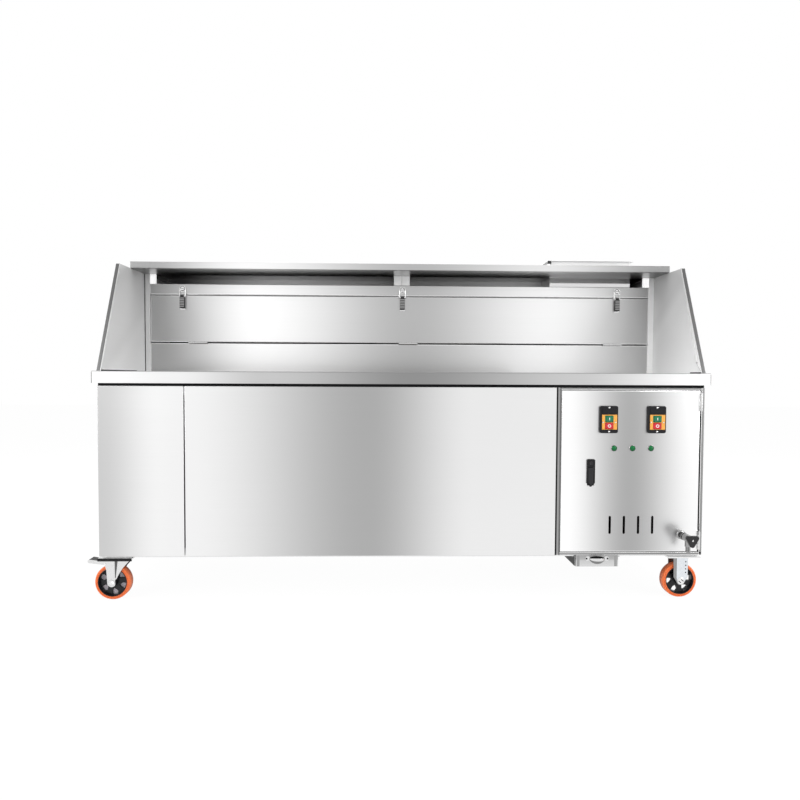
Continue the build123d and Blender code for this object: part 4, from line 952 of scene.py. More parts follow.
class BARBECUE_OT_hood(bpy.types.Operator):
    """Dress the hood: band, flap, rail, posts, canopy, back and the leaning side shields"""

    bl_idname = "barbecue.hood"
    bl_label = "Hood and Shields"

    def execute(self, context):
        sheets = context.scene.barbecue_sheets
        # painted highlight: a white steel tone on the folds of the band, flap and rail
        painted_glint = plain_steel("fold_painted_glint", 1.0, 0.2)
        for node in ("lower_rear_band", "flap_panel", "upper_rail"):
            dressed(node, (sheet_finish(node), painted_glint), folds=sheets.fold, fold_slot=1)
        low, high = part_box("flap_panel")
        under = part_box("upper_rail")[0].z
        set_back, gap, cover = 0.0015, 0.0009, 0.0005
        strip = block((low.x, low.y + set_back, high.z + gap), (high.x, high.y - cover, under))
        finished("flap_stop", strip, plain_steel("flap_stop_steel", 0.6), "root", "stainless")
        dressed("canopy", sheet_finish("canopy"), folds=sheets.fold)
        dressed("hood_posts", sheet_finish("hood_posts", metallic=0.35), ease=sheets.rim)
        # the back's inside takes its painted shade tones, dark as the shade in the smoke slot; its outside takes
        # the painted sheen of the cabinet's back
        tones = PAINTED_SHEENS["cabinet_back_panel"]
        outside = brushed_sheet("hood_outside_steel", tones, lengthwise("hood_back_panel"))
        finish = (sheet_finish("hood_back_panel", 0.6), outside)
        dressed("hood_back_panel", finish, ease=sheets.rim, pick=lambda face: int(face.normal.y > 0.5))
        self.dress_shields(sheets)
        return {"FINISHED"}

    def dress_shields(self, sheets):
        """Shields with a front flange painted darker as shade, a bead on it painted pale as a highlight, and
        black strips painted as the shadow at the foot and the post.
        """
        shadow_black = moulded("shield_shadow_black", MATT_BLACK, 0.6, gloss=0.2)
        # painted shade on the flange and a painted highlight on the hem
        flange = plain_steel("shield_flange_shade", 0.42)
        painted_bright = plain_steel("shield_hem_highlight", 0.82)
        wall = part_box("hood_posts")[0].y
        thin, lift = 0.0008, 0.0002
        shadow_fills = []
        for k, node in enumerate(("left_shield", "right_shield")):
            low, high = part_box(node)
            inner, sign = ((high.x, 1), (low.x, -1))[k]
            finish = (shield_finish(node, rear_first=bool(k)), flange)
            dressed(node, finish, ease=sheets.rim, pick=lambda face: int(face.normal.y < -0.5))
            line = front_edge(node, inner)
            hem = [rod(a, b, sheets.hem) for a, b in zip(line, line[1:])]
            finished(node + "_hem", hem, painted_bright, "root", "stainless")
            sides = sorted((inner, inner + sign * thin))
            rear = low.y + (high.y - low.y) * sheets.shadow_share[k]
            shadow_fills.append(block((sides[0], low.y + 0.004, low.z + lift), (sides[1], rear, low.z + 0.004)))
            if k == 0:
                strip = (inner, wall - thin, low.z + lift), (inner + 0.0026, wall - lift, high.z - lift)
                shadow_fills.append(block(*strip))
        finished("shield_shadows", shadow_fills, shadow_black, "root", "black_plastic")


class BARBECUE_OT_exhaust(bpy.types.Operator):
    """Dress the exhaust stack, the smoke slot's end posts, the grease filters, the fan and its motor"""

    bl_idname = "barbecue.exhaust"
    bl_label = "Exhaust and Fan"

    def execute(self, context):
        sheets = context.scene.barbecue_sheets
        # painted light: the stack's front faces are painted white as lit, its other faces a darker steel
        finish = (sheet_finish("exhaust_stack", metallic=0.3), plain_steel("stack_shaded_steel", 0.8))
        dressed("exhaust_stack", finish, ease=sheets.rim, pick=lambda face: int(face.normal.y > -0.5))
        low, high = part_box("exhaust_stack")
        edge, wide, thick, tall = 0.001, 0.014, 0.004, 0.013
        foot = Vector((low.x + edge, low.y - edge, high.z - edge - tall))
        head = foot + Vector((wide, thick, tall))
        clip_paint = moulded("clip_paint", MATT_BLACK)
        finished("stack_clip", block(foot, head, 0.001), clip_paint, "root", "dark_steel")
        dressed("grease_filters", plain_steel("filter_steel", 0.66), ease=sheets.rim)
        dressed("fan_housing", plain_steel("galvanised_sheet", 0.64, 0.42, (90.0, 90.0, 90.0)))
        dressed("fan_impeller", plain_steel("fan_alloy", 0.62, 0.4))
        dressed("fan_motor", moulded("motor_paint", (0.035, 0.045, 0.06), 0.38))
        self.line_slot()
        return {"FINISHED"}

    def line_slot(self):
        """Pale sheet in the smoke slot, painted light that glows though it is no lamp: an end post at each side
        and the face of the duct behind.
        """
        low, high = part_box("upper_rail")
        duct_low, duct_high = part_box("exhaust_stack")
        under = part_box("canopy")[0].z
        tones = ((0.0, 0.95), (0.85, 0.98), (1.0, 0.96))
        # painted light: the sheet glows with an emission
        painted_glow = (0.62, 0.62, 0.62, 1.0)
        painted_bright = brushed_sheet("slot_glow_sheet", tones, lengthwise("upper_rail"), GRAIN_ALONG_X, 0.5, 0.0, painted_glow)
        width, play, flange = 0.0195, 0.0005, 0.012
        foot, head = high.z + play, under - play
        pieces = []
        for x in (low.x + play, high.x - play - width):
            pieces.append(block((x, low.y + 0.002, foot), (x + width, low.y + 0.016, head), 0.0006))
        left, right = duct_low.x + flange + play, duct_high.x - flange - play
        front = duct_low.y + flange
        pieces.append(block((left, front - 0.0009, foot), (right, front - 0.0001, head)))
        finished("slot_glow_sheets", pieces, painted_bright, "root", "stainless")


# Latches, hinges, tap and drawer


class FittingSettings(bpy.types.PropertyGroup):
    """Sizes and tones of the latches, the tap, the drawer and the bolts."""

    lever_width: metres("Lever Width", "Width of a latch lever's cover", 0.018)
    # how dark the latch levers' steel is painted, as a painted reflection
    lever_reflection_tone: FloatProperty(name="Lever Tone", description="How bright the latch levers look", default=0.27)
    ridges: IntProperty(name="Ridges", description="Ridges across each latch lever", default=6)
    rose: metres("Rose", "Radius of the rose round a keeper", 0.012)
    threads: IntProperty(name="Threads", description="Thread turns on the tap's spout", default=6)
    knurls: IntProperty(name="Knurls", description="Knurls round the thumb screw", default=20)
    # how dark the drawer's left side is painted, as the shade beside it
    drawer_side_shade: FloatProperty(
        name="Drawer Side", description="How bright the drawer's side looks", default=0.3
    )


class BARBECUE_OT_latches(bpy.types.Operator):
    """Build the draw latches: keepers with roses and a ring painted as groove shade, bases with bails and ridged
    levers painted dark as a reflection
    """

    bl_idname = "barbecue.latches"
    bl_label = "Latches"

    def execute(self, context):
        settings = context.scene.barbecue_fittings
        bright = plain_steel("latch_bright", 0.94, 0.16)
        # painted reflection: the levers' steel is toned dark
        lever = plain_steel("latch_lever_dark_reflection", settings.lever_reflection_tone, 0.34)
        ridge = plain_steel("latch_ridge_steel", 0.62)
        # painted shade: a near-black ring round each rose, as the shade in its groove
        groove_shade = moulded("rose_groove_shade", (0.03, 0.03, 0.032))
        dressed("latch_keepers", bright, ease=0.0004)
        dressed("latch_bases", bright)
        roses, groove_shades = [], []
        radius, rise = settings.rose, 0.0034
        for low, high in islands("latch_keepers"):
            face = facing((low.x + high.x) / 2, high.y, (low.z + high.z) / 2)
            edge = [(radius, 0.0001), (radius, rise - 0.0004), (radius - 0.0006, rise)]
            roses.append(moved(turned([(0, 0.0001), *edge, (0, rise)], 40), face))
            ring = [(radius * 0.6, rise - 0.0005), (radius * 0.6, rise + 0.0003)]
            ring += [(radius * 0.8, rise + 0.0003), (radius * 0.8, rise - 0.0005)]
            groove_shades.append(moved(turned_ring(ring, 40), face))
        finished("latch_roses", roses, bright, "root", "bright_metal")
        finished("latch_rose_groove_shades", groove_shades, groove_shade, "root", "dark_steel")
        for side in ("left", "centre", "right"):
            self.make_lever("latch_lever_" + side, settings, lever, ridge)
        return {"FINISHED"}

    def make_lever(self, node, settings, steel, ridge_steel):
        """A lever with a broad ridged cover over its barrel."""
        low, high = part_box(node)
        x, half = (low.x + high.x) / 2, settings.lever_width / 2
        barrel, edge, thick, ridge_deep = 0.0065, 0.0006, 0.0021, 0.001
        front, top = low.y, high.z - barrel
        cover = block((x - half, front + edge, low.z), (x + half, front + edge + thick, top), 0.0006)
        plain, first = 0.006, 0.005
        step = (top - low.z - plain) / settings.ridges
        ridge = block((edge - half, front, 0), (half - edge, front + ridge_deep, step * 0.55), 0.0004)
        place = Matrix.Translation((x, 0, low.z + first))
        ridges = repeated(ROW, ridge, place, Count=settings.ridges, Step=(0, 0, step))
        dressed(node, steel)
        finished(node + "_cover", cover, steel, BODIES[node], SLOTS[node])
        finished(node + "_ridges", ridges, ridge_steel, BODIES[node], SLOTS[node])


class BARBECUE_OT_hinges(bpy.types.Operator):
    """Dress the flap and door hinges and the shield bolts, and knurl the thumb screw"""

    bl_idname = "barbecue.hinges"
    bl_label = "Hinges and Bolts"

    def execute(self, context):
        settings = context.scene.barbecue_fittings
        bright = plain_steel("hinge_steel", 0.88, 0.2)
        for node in ("flap_hinge_fixed", "flap_hinge_leaves", "door_hinge_fixed", "door_hinge_leaves"):
            dressed(node, bright)
        black = moulded("thumb_moulding", SOFT_BLACK, gloss=0.3)
        low, high = max(islands("shield_bolts"), key=lambda box: box[1].x)

        def on_thumb(face):
            return int(face.calc_center_median().z > low.z)

        dressed("shield_bolts", (bright, black), ease=0.0003, pick=on_thumb)
        radius, middle = (high.z - low.z) / 2, (low + high) / 2
        head, tooth, long = 0.0095, 0.0006, 0.0088
        turn = placed((high.x - head, middle.y, middle.z), x=(0, 1, 0), z=(1, 0, 0))
        knurl = block((-tooth, -tooth, 0), (tooth, tooth, long), 0.0003, 1)
        knurls = repeated(RING, knurl, turn, Count=settings.knurls, Radius=radius)
        finished("thumb_knurls", knurls, black, "root", "bright_metal")
        return {"FINISHED"}


class BARBECUE_OT_tap(bpy.types.Operator):
    """Turn the drain tap: rose, nipple, hexagon nuts, valve body, threaded spout and three-cornered handle"""

    bl_idname = "barbecue.tap"
    bl_label = "Drain Tap"

    def execute(self, context):
        settings = context.scene.barbecue_fittings
        chrome = plain_steel("tap_chrome", 0.62, 0.2, (50.0, 50.0, 50.0))
        # painted reflection: the union's chrome is toned dark for the dark it reflects
        shaded_chrome = plain_steel("tap_shaded_chrome", 0.34, 0.3)
        low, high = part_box("tap_body")
        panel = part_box("door_panel")[0].y
        rose = (high.x - low.x) / 2
        x, z = (low.x + high.x) / 2, high.z - rose
        axis = facing(x, panel, z)
        nut_out, spout_out, union_out, lock_nut_in = 0.063, 0.050, 0.015, 0.0022
        rim = [(rose, 0), (rose, 0.0014), (rose * 0.86, 0.0034), (rose * 0.7, 0.004)]
        valve = [
            (0, 0.026), (0.009, 0.026), (0.009, 0.031), (0.0125, 0.033), (0.0125, 0.058), (0.011, 0.061),
            (0.0085, 0.0625), (0.0085, 0.066), (0.004, 0.066), (0.004, 0.0725), (0, 0.0725),
        ]
        shapes = [moved(turned(profile, 48), axis) for profile in ([(0, 0), *rim, (0, 0.004)], valve)]
        shapes.append(moved(hexagon(0.0095, 0.006), facing(x, panel - nut_out, z)))
        reach = high.y - panel
        tail = turned([(0, 0), (0.009, 0), (0.009, reach - 0.001), (0, reach)], 32)
        behind = placed((x, panel, z), x=(1, 0, 0), z=(0, 1, 0))
        shapes += [moved(tail, behind), raised(hexagon(0.0138, 0.006), behind, lock_nut_in)]
        shapes += self.make_spout(x, panel - spout_out, z, low.z, settings.threads)
        finished("tap_valve", shapes, chrome, "door", "bright_metal", ("tap_body",))
        union = [moved(puck(0.0082, 0.0035, 0.0265), axis)]
        union.append(raised(hexagon(0.0128, 0.010, 0.0008), axis, union_out))
        finished("tap_union", union, shaded_chrome, "door", "dark_steel", ("tap_body",))
        self.make_handle(x, z)
        return {"FINISHED"}

    def make_spout(self, x, y, z, foot, threads):
        """The spout: a necked tube that points down, with thread turns near its open end."""
        drop, radius, bore = z - foot, 0.008, 0.0055
        thin, shank = radius - 0.0006, drop - 0.016
        profile = [(bore, shank), (bore, drop), (thin, drop), (thin, shank)]
        profile += [(radius + 0.002, drop - 0.018), (radius + 0.002, 0.004), (0.006, 0.0)]
        down = placed((x, y, z), x=(1, 0, 0), z=(0, 0, -1))
        tube = moved(turned([(0, shank), *profile, (0, 0.0)], 40), down)
        pitch = 0.014 / threads
        root = radius - 0.0007
        turn = turned_ring([(root, 0), (radius, pitch * 0.35), (root, pitch * 0.7)], 40)
        start = down @ Matrix.Translation((0, 0, drop - 0.0148))
        return [tube, repeated(ROW, turn, start, Count=threads, Step=(0, 0, pitch))]

    def make_handle(self, x, z):
        """A black three-cornered handle with full round corners and a bright screw."""
        low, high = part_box("tap_handle")
        lobe, thick = 0.008, high.y - low.y
        reach = z - low.z - lobe
        outline = []
        for corner in (0, 120, 240):
            at = math.radians(corner)
            x_mid, y_mid = reach * math.cos(at), reach * math.sin(at)
            for k in range(-60, 61, 10):
                out = math.radians(corner + k)
                outline.append((x_mid + lobe * math.cos(out), y_mid + lobe * math.sin(out)))
        turn = placed((x, high.y, z), x=(0, 0, -1), z=(0, -1, 0))
        grip = moved(plate(outline, thick - 0.0006, ease=0.0028, steps=4), turn)
        black = moulded("tap_handle_moulding", SOFT_BLACK, 0.3, 600.0, gloss=0.4)
        stand_in("tap_grip", "tap_handle", grip, black)
        screw = moved(pan_screw(0.003, 0.0014), facing(x, low.y + 0.0015, z))
        bright = plain_steel("tap_screw", 0.92, 0.18)
        finished("tap_handle_screw", screw, bright, BODIES["tap_handle"], "bright_metal")


class BARBECUE_OT_drawer(bpy.types.Operator):
    """Dress the grease drawer and its shell pull, with a black plate painted as the shadow in its mouth, its ear
    screws, and grey strips painted as shade at its folds
    """

    bl_idname = "barbecue.drawer"
    bl_label = "Grease Drawer"

    def execute(self, context):
        settings = context.scene.barbecue_fittings
        sheets = context.scene.barbecue_sheets
        # painted sheen: the front darkens towards its top
        steel = brushed_sheet("drawer_steel", PAINTED_SHEENS["drawer_box"], lengthwise("drawer_box", "Z"))
        # painted shade: the drawer's left side takes a dark steel
        finish = (steel, plain_steel("drawer_side_shade", settings.drawer_side_shade))
        dressed("drawer_box", finish, ease=sheets.rim, pick=lambda face: int(face.normal.x < -0.7))
        # painted shade: the pull's downward faces take a darker steel
        chrome = (plain_steel("pull_chrome", 0.86, 0.2), plain_steel("pull_under_shade", 0.5))
        dressed("drawer_pull", chrome, pick=lambda face: int(face.normal.z < -0.3))
        # painted shadow: a thin black plate in the pull's mouth; the ear screws share its black
        shadow = moulded("pull_mouth_shadow", SOFT_BLACK, 0.6, gloss=0.15)
        low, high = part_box("drawer_pull")
        box_low, box_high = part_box("drawer_box")
        ear, ear_drop, mouth_drop, half_wide, tall = 0.0045, 0.008, 0.003, 0.0285, 0.0105
        x, z = (low.x + high.x) / 2, high.z - ear_drop
        arc = [math.pi * k / 16 for k in range(17)]
        mouth = plate([(half_wide * math.cos(a), tall * math.sin(a)) for a in arc], 0.0004)
        marks = [moved(mouth, facing(x, high.y, z - mouth_drop))]
        for at in (low.x + ear, high.x - ear):
            marks.append(moved(pan_screw(0.003, 0.0016), facing(at, high.y - 0.0015, z)))
        finished("drawer_marks", marks, shadow, "drawer", "dark_steel")
        # painted shade: grey strips at the front's folds
        folds = []
        half, proud, inset = 0.0045, 0.0006, 0.0085
        for at in (box_low.x + inset, box_high.x - inset):
            foot = (at - half, box_low.y - proud, box_low.z + 0.001)
            folds.append(block(foot, (at + half, box_low.y, high.z), 0.0003))
        finished("drawer_fold_shades", folds, plain_steel("drawer_fold_shades", 0.62), "drawer", "stainless")
        return {"FINISHED"}


# Casters


class CasterSettings(bpy.types.PropertyGroup):
    """Tyre, hub and fork of the casters."""

    tyre: paint("Tyre", "Colour of the tyre", (0.8, 0.145, 0.028))
    tyre_width: metres("Tyre Width", "Width of the tread", 0.032)
    tyre_depth: metres("Tyre Depth", "Tread to rim", 0.0108)
    shoulder: metres("Shoulder", "Rounding of the tread", 0.006)
    hub_width: metres("Hub Width", "Width of the hub's boss", 0.034)
    rim: metres("Rim", "Depth of the hub's outer ring", 0.0045)
    web: metres("Web", "Thickness of the spokes", 0.011)
    spokes: IntProperty(name="Spokes", description="Spokes between the windows", default=6)
    hub_turn: FloatProperty(name="Hub Turn", description="Turn of the right hubs in degrees", default=30.0)


def tyre_finish(name, axle, radius, half, colour):
    """Cast orange tyre with painted light: painted shade where it meets the rim, a painted highlight on the
    tread, painted shade towards the tread's rear, and its own dust.
    """
    finish = new_finish(name)
    across = finish.along("X") - axle.x
    up = finish.along("Z") - axle.z
    share = (across * across + up * up) ** 0.5 / radius
    # painted shade near the rim and a painted highlight on the tread
    tones = [(0.74, (0.62, 0.62, 0.62, 1.0)), (0.86, (1.0, 1.0, 1.0, 1.0)), (1.0, (1.25, 1.45, 1.9, 1.0))]
    rim_shade_tread_highlight = finish.node("ShaderNodeValToRGB", {"stops": tones}, {0: share})
    base = finish.mixed(colour_of(colour), rim_shade_tread_highlight, blend="MULTIPLY")
    dust = finish.noise((120.0, 120.0, 120.0), detail=4.0)
    # painted shade: the tread darkens towards its rear
    rearward_shade = finish.share("Y", (axle.y - half, axle.y + half))
    tread = finish.node("ShaderNodeMapRange", (), {"Value": share, "From Min": 0.95, "From Max": 0.995})
    finish.surface(
        base_color=finish.shade(base, (0.86 + dust * 0.28) * (1.0 - tread * rearward_shade * 0.75)),
        roughness=0.36 + dust * 0.2,
        normal=finish.bumped(dust, 0.00006),
    )
    return finish.owner


def hub_shape(radius, settings):
    """Black hub: a boss and an outer ring with lipped rims, joined by leaning turbine spokes."""
    inner = radius - settings.tyre_depth
    half, rim = settings.hub_width / 2, settings.rim
    lip = half * 0.94
    ring = turned_ring([
        (inner + 0.0004, -lip), (inner + 0.0004, lip), (inner - 0.0015, lip + 0.0008),
        (inner - rim * 0.6, lip * 0.9), (inner - rim, lip * 0.62), (inner - rim, -lip * 0.62),
        (inner - rim * 0.6, -lip * 0.9), (inner - 0.0015, -lip - 0.0008),
    ], 72)
    boss_r = radius * 0.25
    boss = turned_ring([
        (radius * 0.105, -half), (boss_r * 0.86, -half), (boss_r, -half * 0.86),
        (boss_r * 1.12, 0), (boss_r, half * 0.86), (boss_r * 0.86, half), (radius * 0.105, half),
    ], 48)
    reach = inner - rim * 0.5
    lean = radius * 0.12
    edges = [
        (boss_r * 0.8, 0.0, 0.0095), (radius * 0.38, lean * 0.2, 0.0104),
        (radius * 0.48, lean * 0.45, 0.0086), (radius * 0.59, lean * 0.8, 0.0092),
        (radius * 0.69, lean, 0.0140), (reach, lean * 1.1, 0.0200),
    ]
    outline = [(x, y - w) for x, y, w in edges] + [(x, y + w) for x, y, w in reversed(edges)]
    spoke = plate(outline, settings.web, ease=0.0012)
    moved(spoke, Matrix.Translation((0, 0, -settings.web / 2)))
    spokes = repeated(RING, spoke, Matrix.Identity(4), Count=settings.spokes, Radius=0.0)
    half_web, core, eye = settings.web * 0.42, radius * 0.4, boss_r * 0.9
    disc = turned_ring([(eye, -half_web), (core, -half_web), (core, half_web), (eye, half_web)], 48)
    return joined(ring, boss, spokes, disc)


def tyre_shape(radius, settings):
    """Tyre bonded round the hub: a flat tread with round shoulders and a low line on each side."""
    half, inner, round_off = settings.tyre_width / 2, radius - settings.tyre_depth, settings.shoulder
    outside = [(inner, half * 0.97), (inner + 0.002, half), (inner + 0.0042, half)]
    outside += [(inner + 0.0048, half - 0.0005), (inner + 0.0054, half)]
    for k in range(7):
        angle = math.pi / 2 * k / 6
        across, up = round_off * math.cos(angle), round_off * math.sin(angle)
        outside.append((radius - round_off + up, half - round_off + across))
    mirrored = [(r, -h) for r, h in reversed(outside)]
    return turned_ring(outside + mirrored, 96)


class BARBECUE_OT_wheels(bpy.types.Operator):
    """Cast the orange tyres and black turbine hubs of the four casters"""

    bl_idname = "barbecue.wheels"
    bl_label = "Wheels"

    def execute(self, context):
        settings = context.scene.barbecue_casters
        black = moulded("hub_moulding", (0.008, 0.008, 0.01), 0.34, 500.0, gloss=0.35)
        window_shade = moulded("hub_disc", (0.52, 0.48, 0.52), 0.5, 300.0)
        for node in sorted(n for n in NODES if n.startswith("wheel_")):
            low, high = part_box(node)
            axle, radius = (low + high) / 2, (high.z - low.z) / 2
            turn = facing(*axle)
            finish = tyre_finish(node + "_tyre", axle, radius, settings.tyre_width / 2, settings.tyre)
            tyre = moved(tyre_shape(radius, settings), turn)
            stand_in(node + "_tyre", node, tyre, finish)
            if node.endswith("right"):
                turn = turn @ Matrix.Rotation(math.radians(settings.hub_turn), 4, "Z")
            # painted shade: a grey disc behind the left hubs' windows, the shade seen through them
            else:
                disc = moved(puck(0.041, -0.0004, 0.0004, 48), turn)
                finished(node + "_disc", disc, window_shade, BODIES[node], "black_plastic")
            hub = moved(hub_shape(radius, settings), turn)
            finished(node + "_hub", hub, black, BODIES[node], "black_plastic", (node,))
        return {"FINISHED"}


AXLE_HALF = 0.024
AXLE_RADIUS = 0.0058
LEG_INSIDE = 0.020
LEG_OUTSIDE = 0.023
PLATE_THICK = 0.005


def cross_pin(middle, half, radius, sides):
    """A round pin that runs from front to back."""
    return rod(middle - Vector((0, half, 0)), middle + Vector((0, half, 0)), radius, sides)


def round_end(radius, first, last, steps=14):
    """Points round an axle's end, between two angles in degrees."""
    angles = [math.radians(first + (last - first) * k / steps) for k in range(steps + 1)]
    return [(radius * math.cos(a), radius * math.sin(a)) for a in angles]


class BARBECUE_OT_forks(bpy.types.Operator):
    """Press the caster forks, their plates and axle bolts, and the brake pedal with its black tread"""

    bl_idname = "barbecue.forks"
    bl_label = "Caster Forks"

    def execute(self, context):
        zinc = plain_steel("zinc_plate", 0.88, 0.26, (140.0, 140.0, 140.0))
        # painted shade: a dark zinc for the swivel forks' creases
        fold = plain_steel("fork_fold_shade", 0.4, 0.36)
        # painted shade: a darker zinc for the fixed forks' folds
        wing_shade = plain_steel("fork_wing_shade", 0.58, 0.36)
        blue = plain_steel("blue_zinc", 0.9, 0.24, (90.0, 90.0, 90.0), -0.02)
        # black lacquer for the pedal's tread, and black painted as shade on the plates and forks
        lacquer_and_shade = moulded("black_lacquer_and_shade", DEEP_BLACK, 0.35, 300.0, gloss=0.3)
        bolt = plain_steel("bolt_zinc", 0.93, 0.2)
        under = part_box("swivel_plates")[1].z - PLATE_THICK

        # painted shade: black on the plates' front and underside faces, zinc on the rest
        def lit_faces(face):
            low_down = face.calc_center_median().z < under - 0.0001
            return int(low_down or (face.normal.y > -0.5 and face.normal.z > -0.5))

        dressed("swivel_plates", (lacquer_and_shade, zinc), ease=0.0008, pick=lit_faces)
        # painted shadow: a black strip under each plate's front edge
        for low, high in islands("swivel_plates"):
            foot = (low.x, low.y, under - PLATE_THICK)
            edge = block(foot, (high.x, low.y + 0.004, under + 0.0002), 0.0006)
            finished("plate_edge_shadow", edge, lacquer_and_shade, "root", "black_plastic")
        dressed("brake_pedal", (zinc, lacquer_and_shade), ease=0.0004, pick=lambda face: int(face.normal.z > 0.45))
        self.tread_pedal(lacquer_and_shade)
        for end in ("front", "rear"):
            self.press_swivel_fork("swivel_fork_" + end, "wheel_%s_left" % end, (zinc, fold, bolt, lacquer_and_shade))
            self.press_fixed_fork("wheel_%s_right" % end, (blue, wing_shade, bolt, lacquer_and_shade))
        return {"FINISHED"}

    def tread_pedal(self, finish):
        """A row of low teeth across the pedal's upper face."""
        low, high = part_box("brake_pedal")
        tip, root = Vector((low.x + 0.007, 0, high.z - 0.0002)), Vector((high.x - 0.012, 0, high.z - 0.0068))
        tooth = block((-0.0011, low.y + 0.002, -0.0004), (0.0011, high.y - 0.002, 0.0006), 0.0004)
        step = (root - tip) / 6
        teeth = repeated(ROW, tooth, Matrix.Translation(tip), Count=7, Step=tuple(step))
        finished("pedal_tread", teeth, finish, BODIES["brake_pedal"], "black_plastic")

    def press_swivel_fork(self, node, wheel, finishes):
        """Two pressed legs with a set-back gusset, dark crease strips and black liners painted as shade on them,
        the yoke over them, the axle bolts and the pedal's pin.
        """
        zinc, fold, bolt, lacquer_and_shade = finishes
        low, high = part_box(wheel)
        axle = (low + high) / 2
        body, top = BODIES[node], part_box(node)[1].z - axle.z
        strip = [(0.011, top), (-0.026, top), (-0.0215, top - 0.014), (-0.0165, top - 0.033)]
        strip += [(-0.0145, 0.010), *round_end(0.014, 175, 330)]
        gusset = [(0.055, top), (0.006, top), (0.006, 0.004), (0.0152, 0.012), (0.0245, 0.030)]
        gusset += [(0.0367, 0.049), (0.0535, top - 0.006)]
        # painted shade: the crease strips and the black liners stand for shade on the legs
        crease = [(0.0195, top - 0.002), (0.0108, top - 0.002), (0.0108, 0.016), (0.0128, 0.016)]
        legs, crease_shades, bolts, inner_shades = [], [], [], []
        for side in (-1, 1):
            mirror = Matrix.Diagonal((1, 1, 1, 1)) if side < 0 else Matrix.Diagonal((-1, 1, 1, 1))
            turn = placed(axle, x=(-side, 0, 0), z=(0, side, 0)) @ mirror
            for outline, inner, outer, group in (
                (strip, LEG_INSIDE, LEG_OUTSIDE, legs),
                (gusset, 0.0176, 0.0206, legs),
                (crease, 0.0204, 0.0222, crease_shades),
                (strip, 0.0196, 0.0199, inner_shades),
                (gusset, 0.0172, 0.0175, inner_shades),
            ):
                group.append(raised(plate(outline, outer - inner, ease=0.0005), turn, inner))
            bolts.append(raised(hex_bolt(0.0070, 0.0044), turn, LEG_OUTSIDE - 0.0002))
            crease_shades.append(raised(puck(0.0100, 0, 0.0003), turn, LEG_OUTSIDE - 0.0001))
        yoke = Vector((-0.006, -0.0205, top - PLATE_THICK)), Vector((0.0555, 0.0205, top))
        legs.append(block(axle + yoke[0], axle + yoke[1], 0.0006))
        if node.endswith("front"):
            low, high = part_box("brake_pedal")
            pin = Vector((high.x - 0.0055, axle.y, low.z + 0.0055))
            bolts.append(cross_pin(pin, 0.0245, 0.0029, 20))
        for shape in legs + crease_shades + bolts + inner_shades:
            bmesh.ops.recalc_face_normals(shape, faces=shape.faces)
        finished(node + "_legs", legs, zinc, body, "bright_metal", (node,))
        finished(node + "_creases", crease_shades, fold, body, "bright_metal", (node,))
        finished(node + "_inner_shades", inner_shades, lacquer_and_shade, body, "bright_metal", (node,))
        bolts.append(cross_pin(axle, AXLE_HALF, AXLE_RADIUS, 24))
        finished(node + "_bolts", bolts, bolt, body, "bright_metal", (node,))

    def press_fixed_fork(self, wheel, finishes):
        """Two straight legs on darker plates painted as the shade at their folds, a row of black spots painted as
        shaded holes, under a plate, with slotted axle bolts whose slots are black as painted shade.
        """
        blue, fold, bolt, lacquer_and_shade = finishes
        low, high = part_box(wheel)
        axle = (low + high) / 2
        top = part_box("fixed_forks")[1].z - axle.z
        under = top - PLATE_THICK
        leg = [(0.0245, under - 0.007), (0.0175, under), (-0.0245, under), (-0.0245, 0.014)]
        leg += [*round_end(0.0145, 195, 345), (0.0235, 0.014)]
        face = [(0.024, under - 0.008), (0.017, under - 0.001), (-0.0145, under - 0.001), (-0.0145, 0.010)]
        face += [*round_end(0.0120, 205, 330), (0.0225, 0.013)]
        folds, legs, bolts, hole_shades = [], [], [], []
        for side in (-1, 1):
            turn = placed(axle, x=(-side, 0, 0), z=(0, side, 0))
            folds.append(raised(plate(leg, LEG_OUTSIDE - LEG_INSIDE, ease=0.0006), turn, LEG_INSIDE))
            legs.append(raised(plate(face, 0.0012, ease=0.0005), turn, 0.0226))
            head = turned([(0, 0), (0.0115, 0), (0.0115, 0.0022), (0.0100, 0.0032), (0, 0.0034)], 32)
            bolts.append(raised(head, turn, LEG_OUTSIDE))
            start = turn @ Matrix.Translation((0.0158, under - 0.018, 0.0237))
            hole_shades.append(repeated(ROW, puck(0.0022, 0, 0.0003, 12), start, Count=4, Step=(0, -0.0121, 0)))
            lean = Matrix.Rotation(math.radians(-38), 4, "Z")
            for offset in ((-0.0045, -0.0026), (0.0045, 0.0026)):
                slot = plate(rounded(0.0105, 0.0028, 0.0012, 2), 0.0004)
                hole_shades.append(moved(slot, turn @ Matrix.Translation((*offset, 0.0262)) @ lean))
        half_plate, foot, head = Vector((0.055, 0.046, 0)), Vector((0, 0, under)), Vector((0, 0, top))
        bolts.append(block(axle - half_plate + foot, axle + half_plate + head, 0.0008))
        bolts.append(cross_pin(axle, AXLE_HALF, AXLE_RADIUS, 24))
        stands_for = ("fixed_forks",)
        finished(wheel + "_fork_fold_shades", folds, fold, "root", "bright_metal", stands_for)
        finished(wheel + "_fork_legs", legs, blue, "root", "bright_metal", stands_for)
        finished(wheel + "_fork_bolts", bolts, bolt, "root", "bright_metal", stands_for)
        finished(wheel + "_fork_hole_shades", hole_shades, lacquer_and_shade, "root", "bright_metal")


# Switches, lamps and lock on the control door


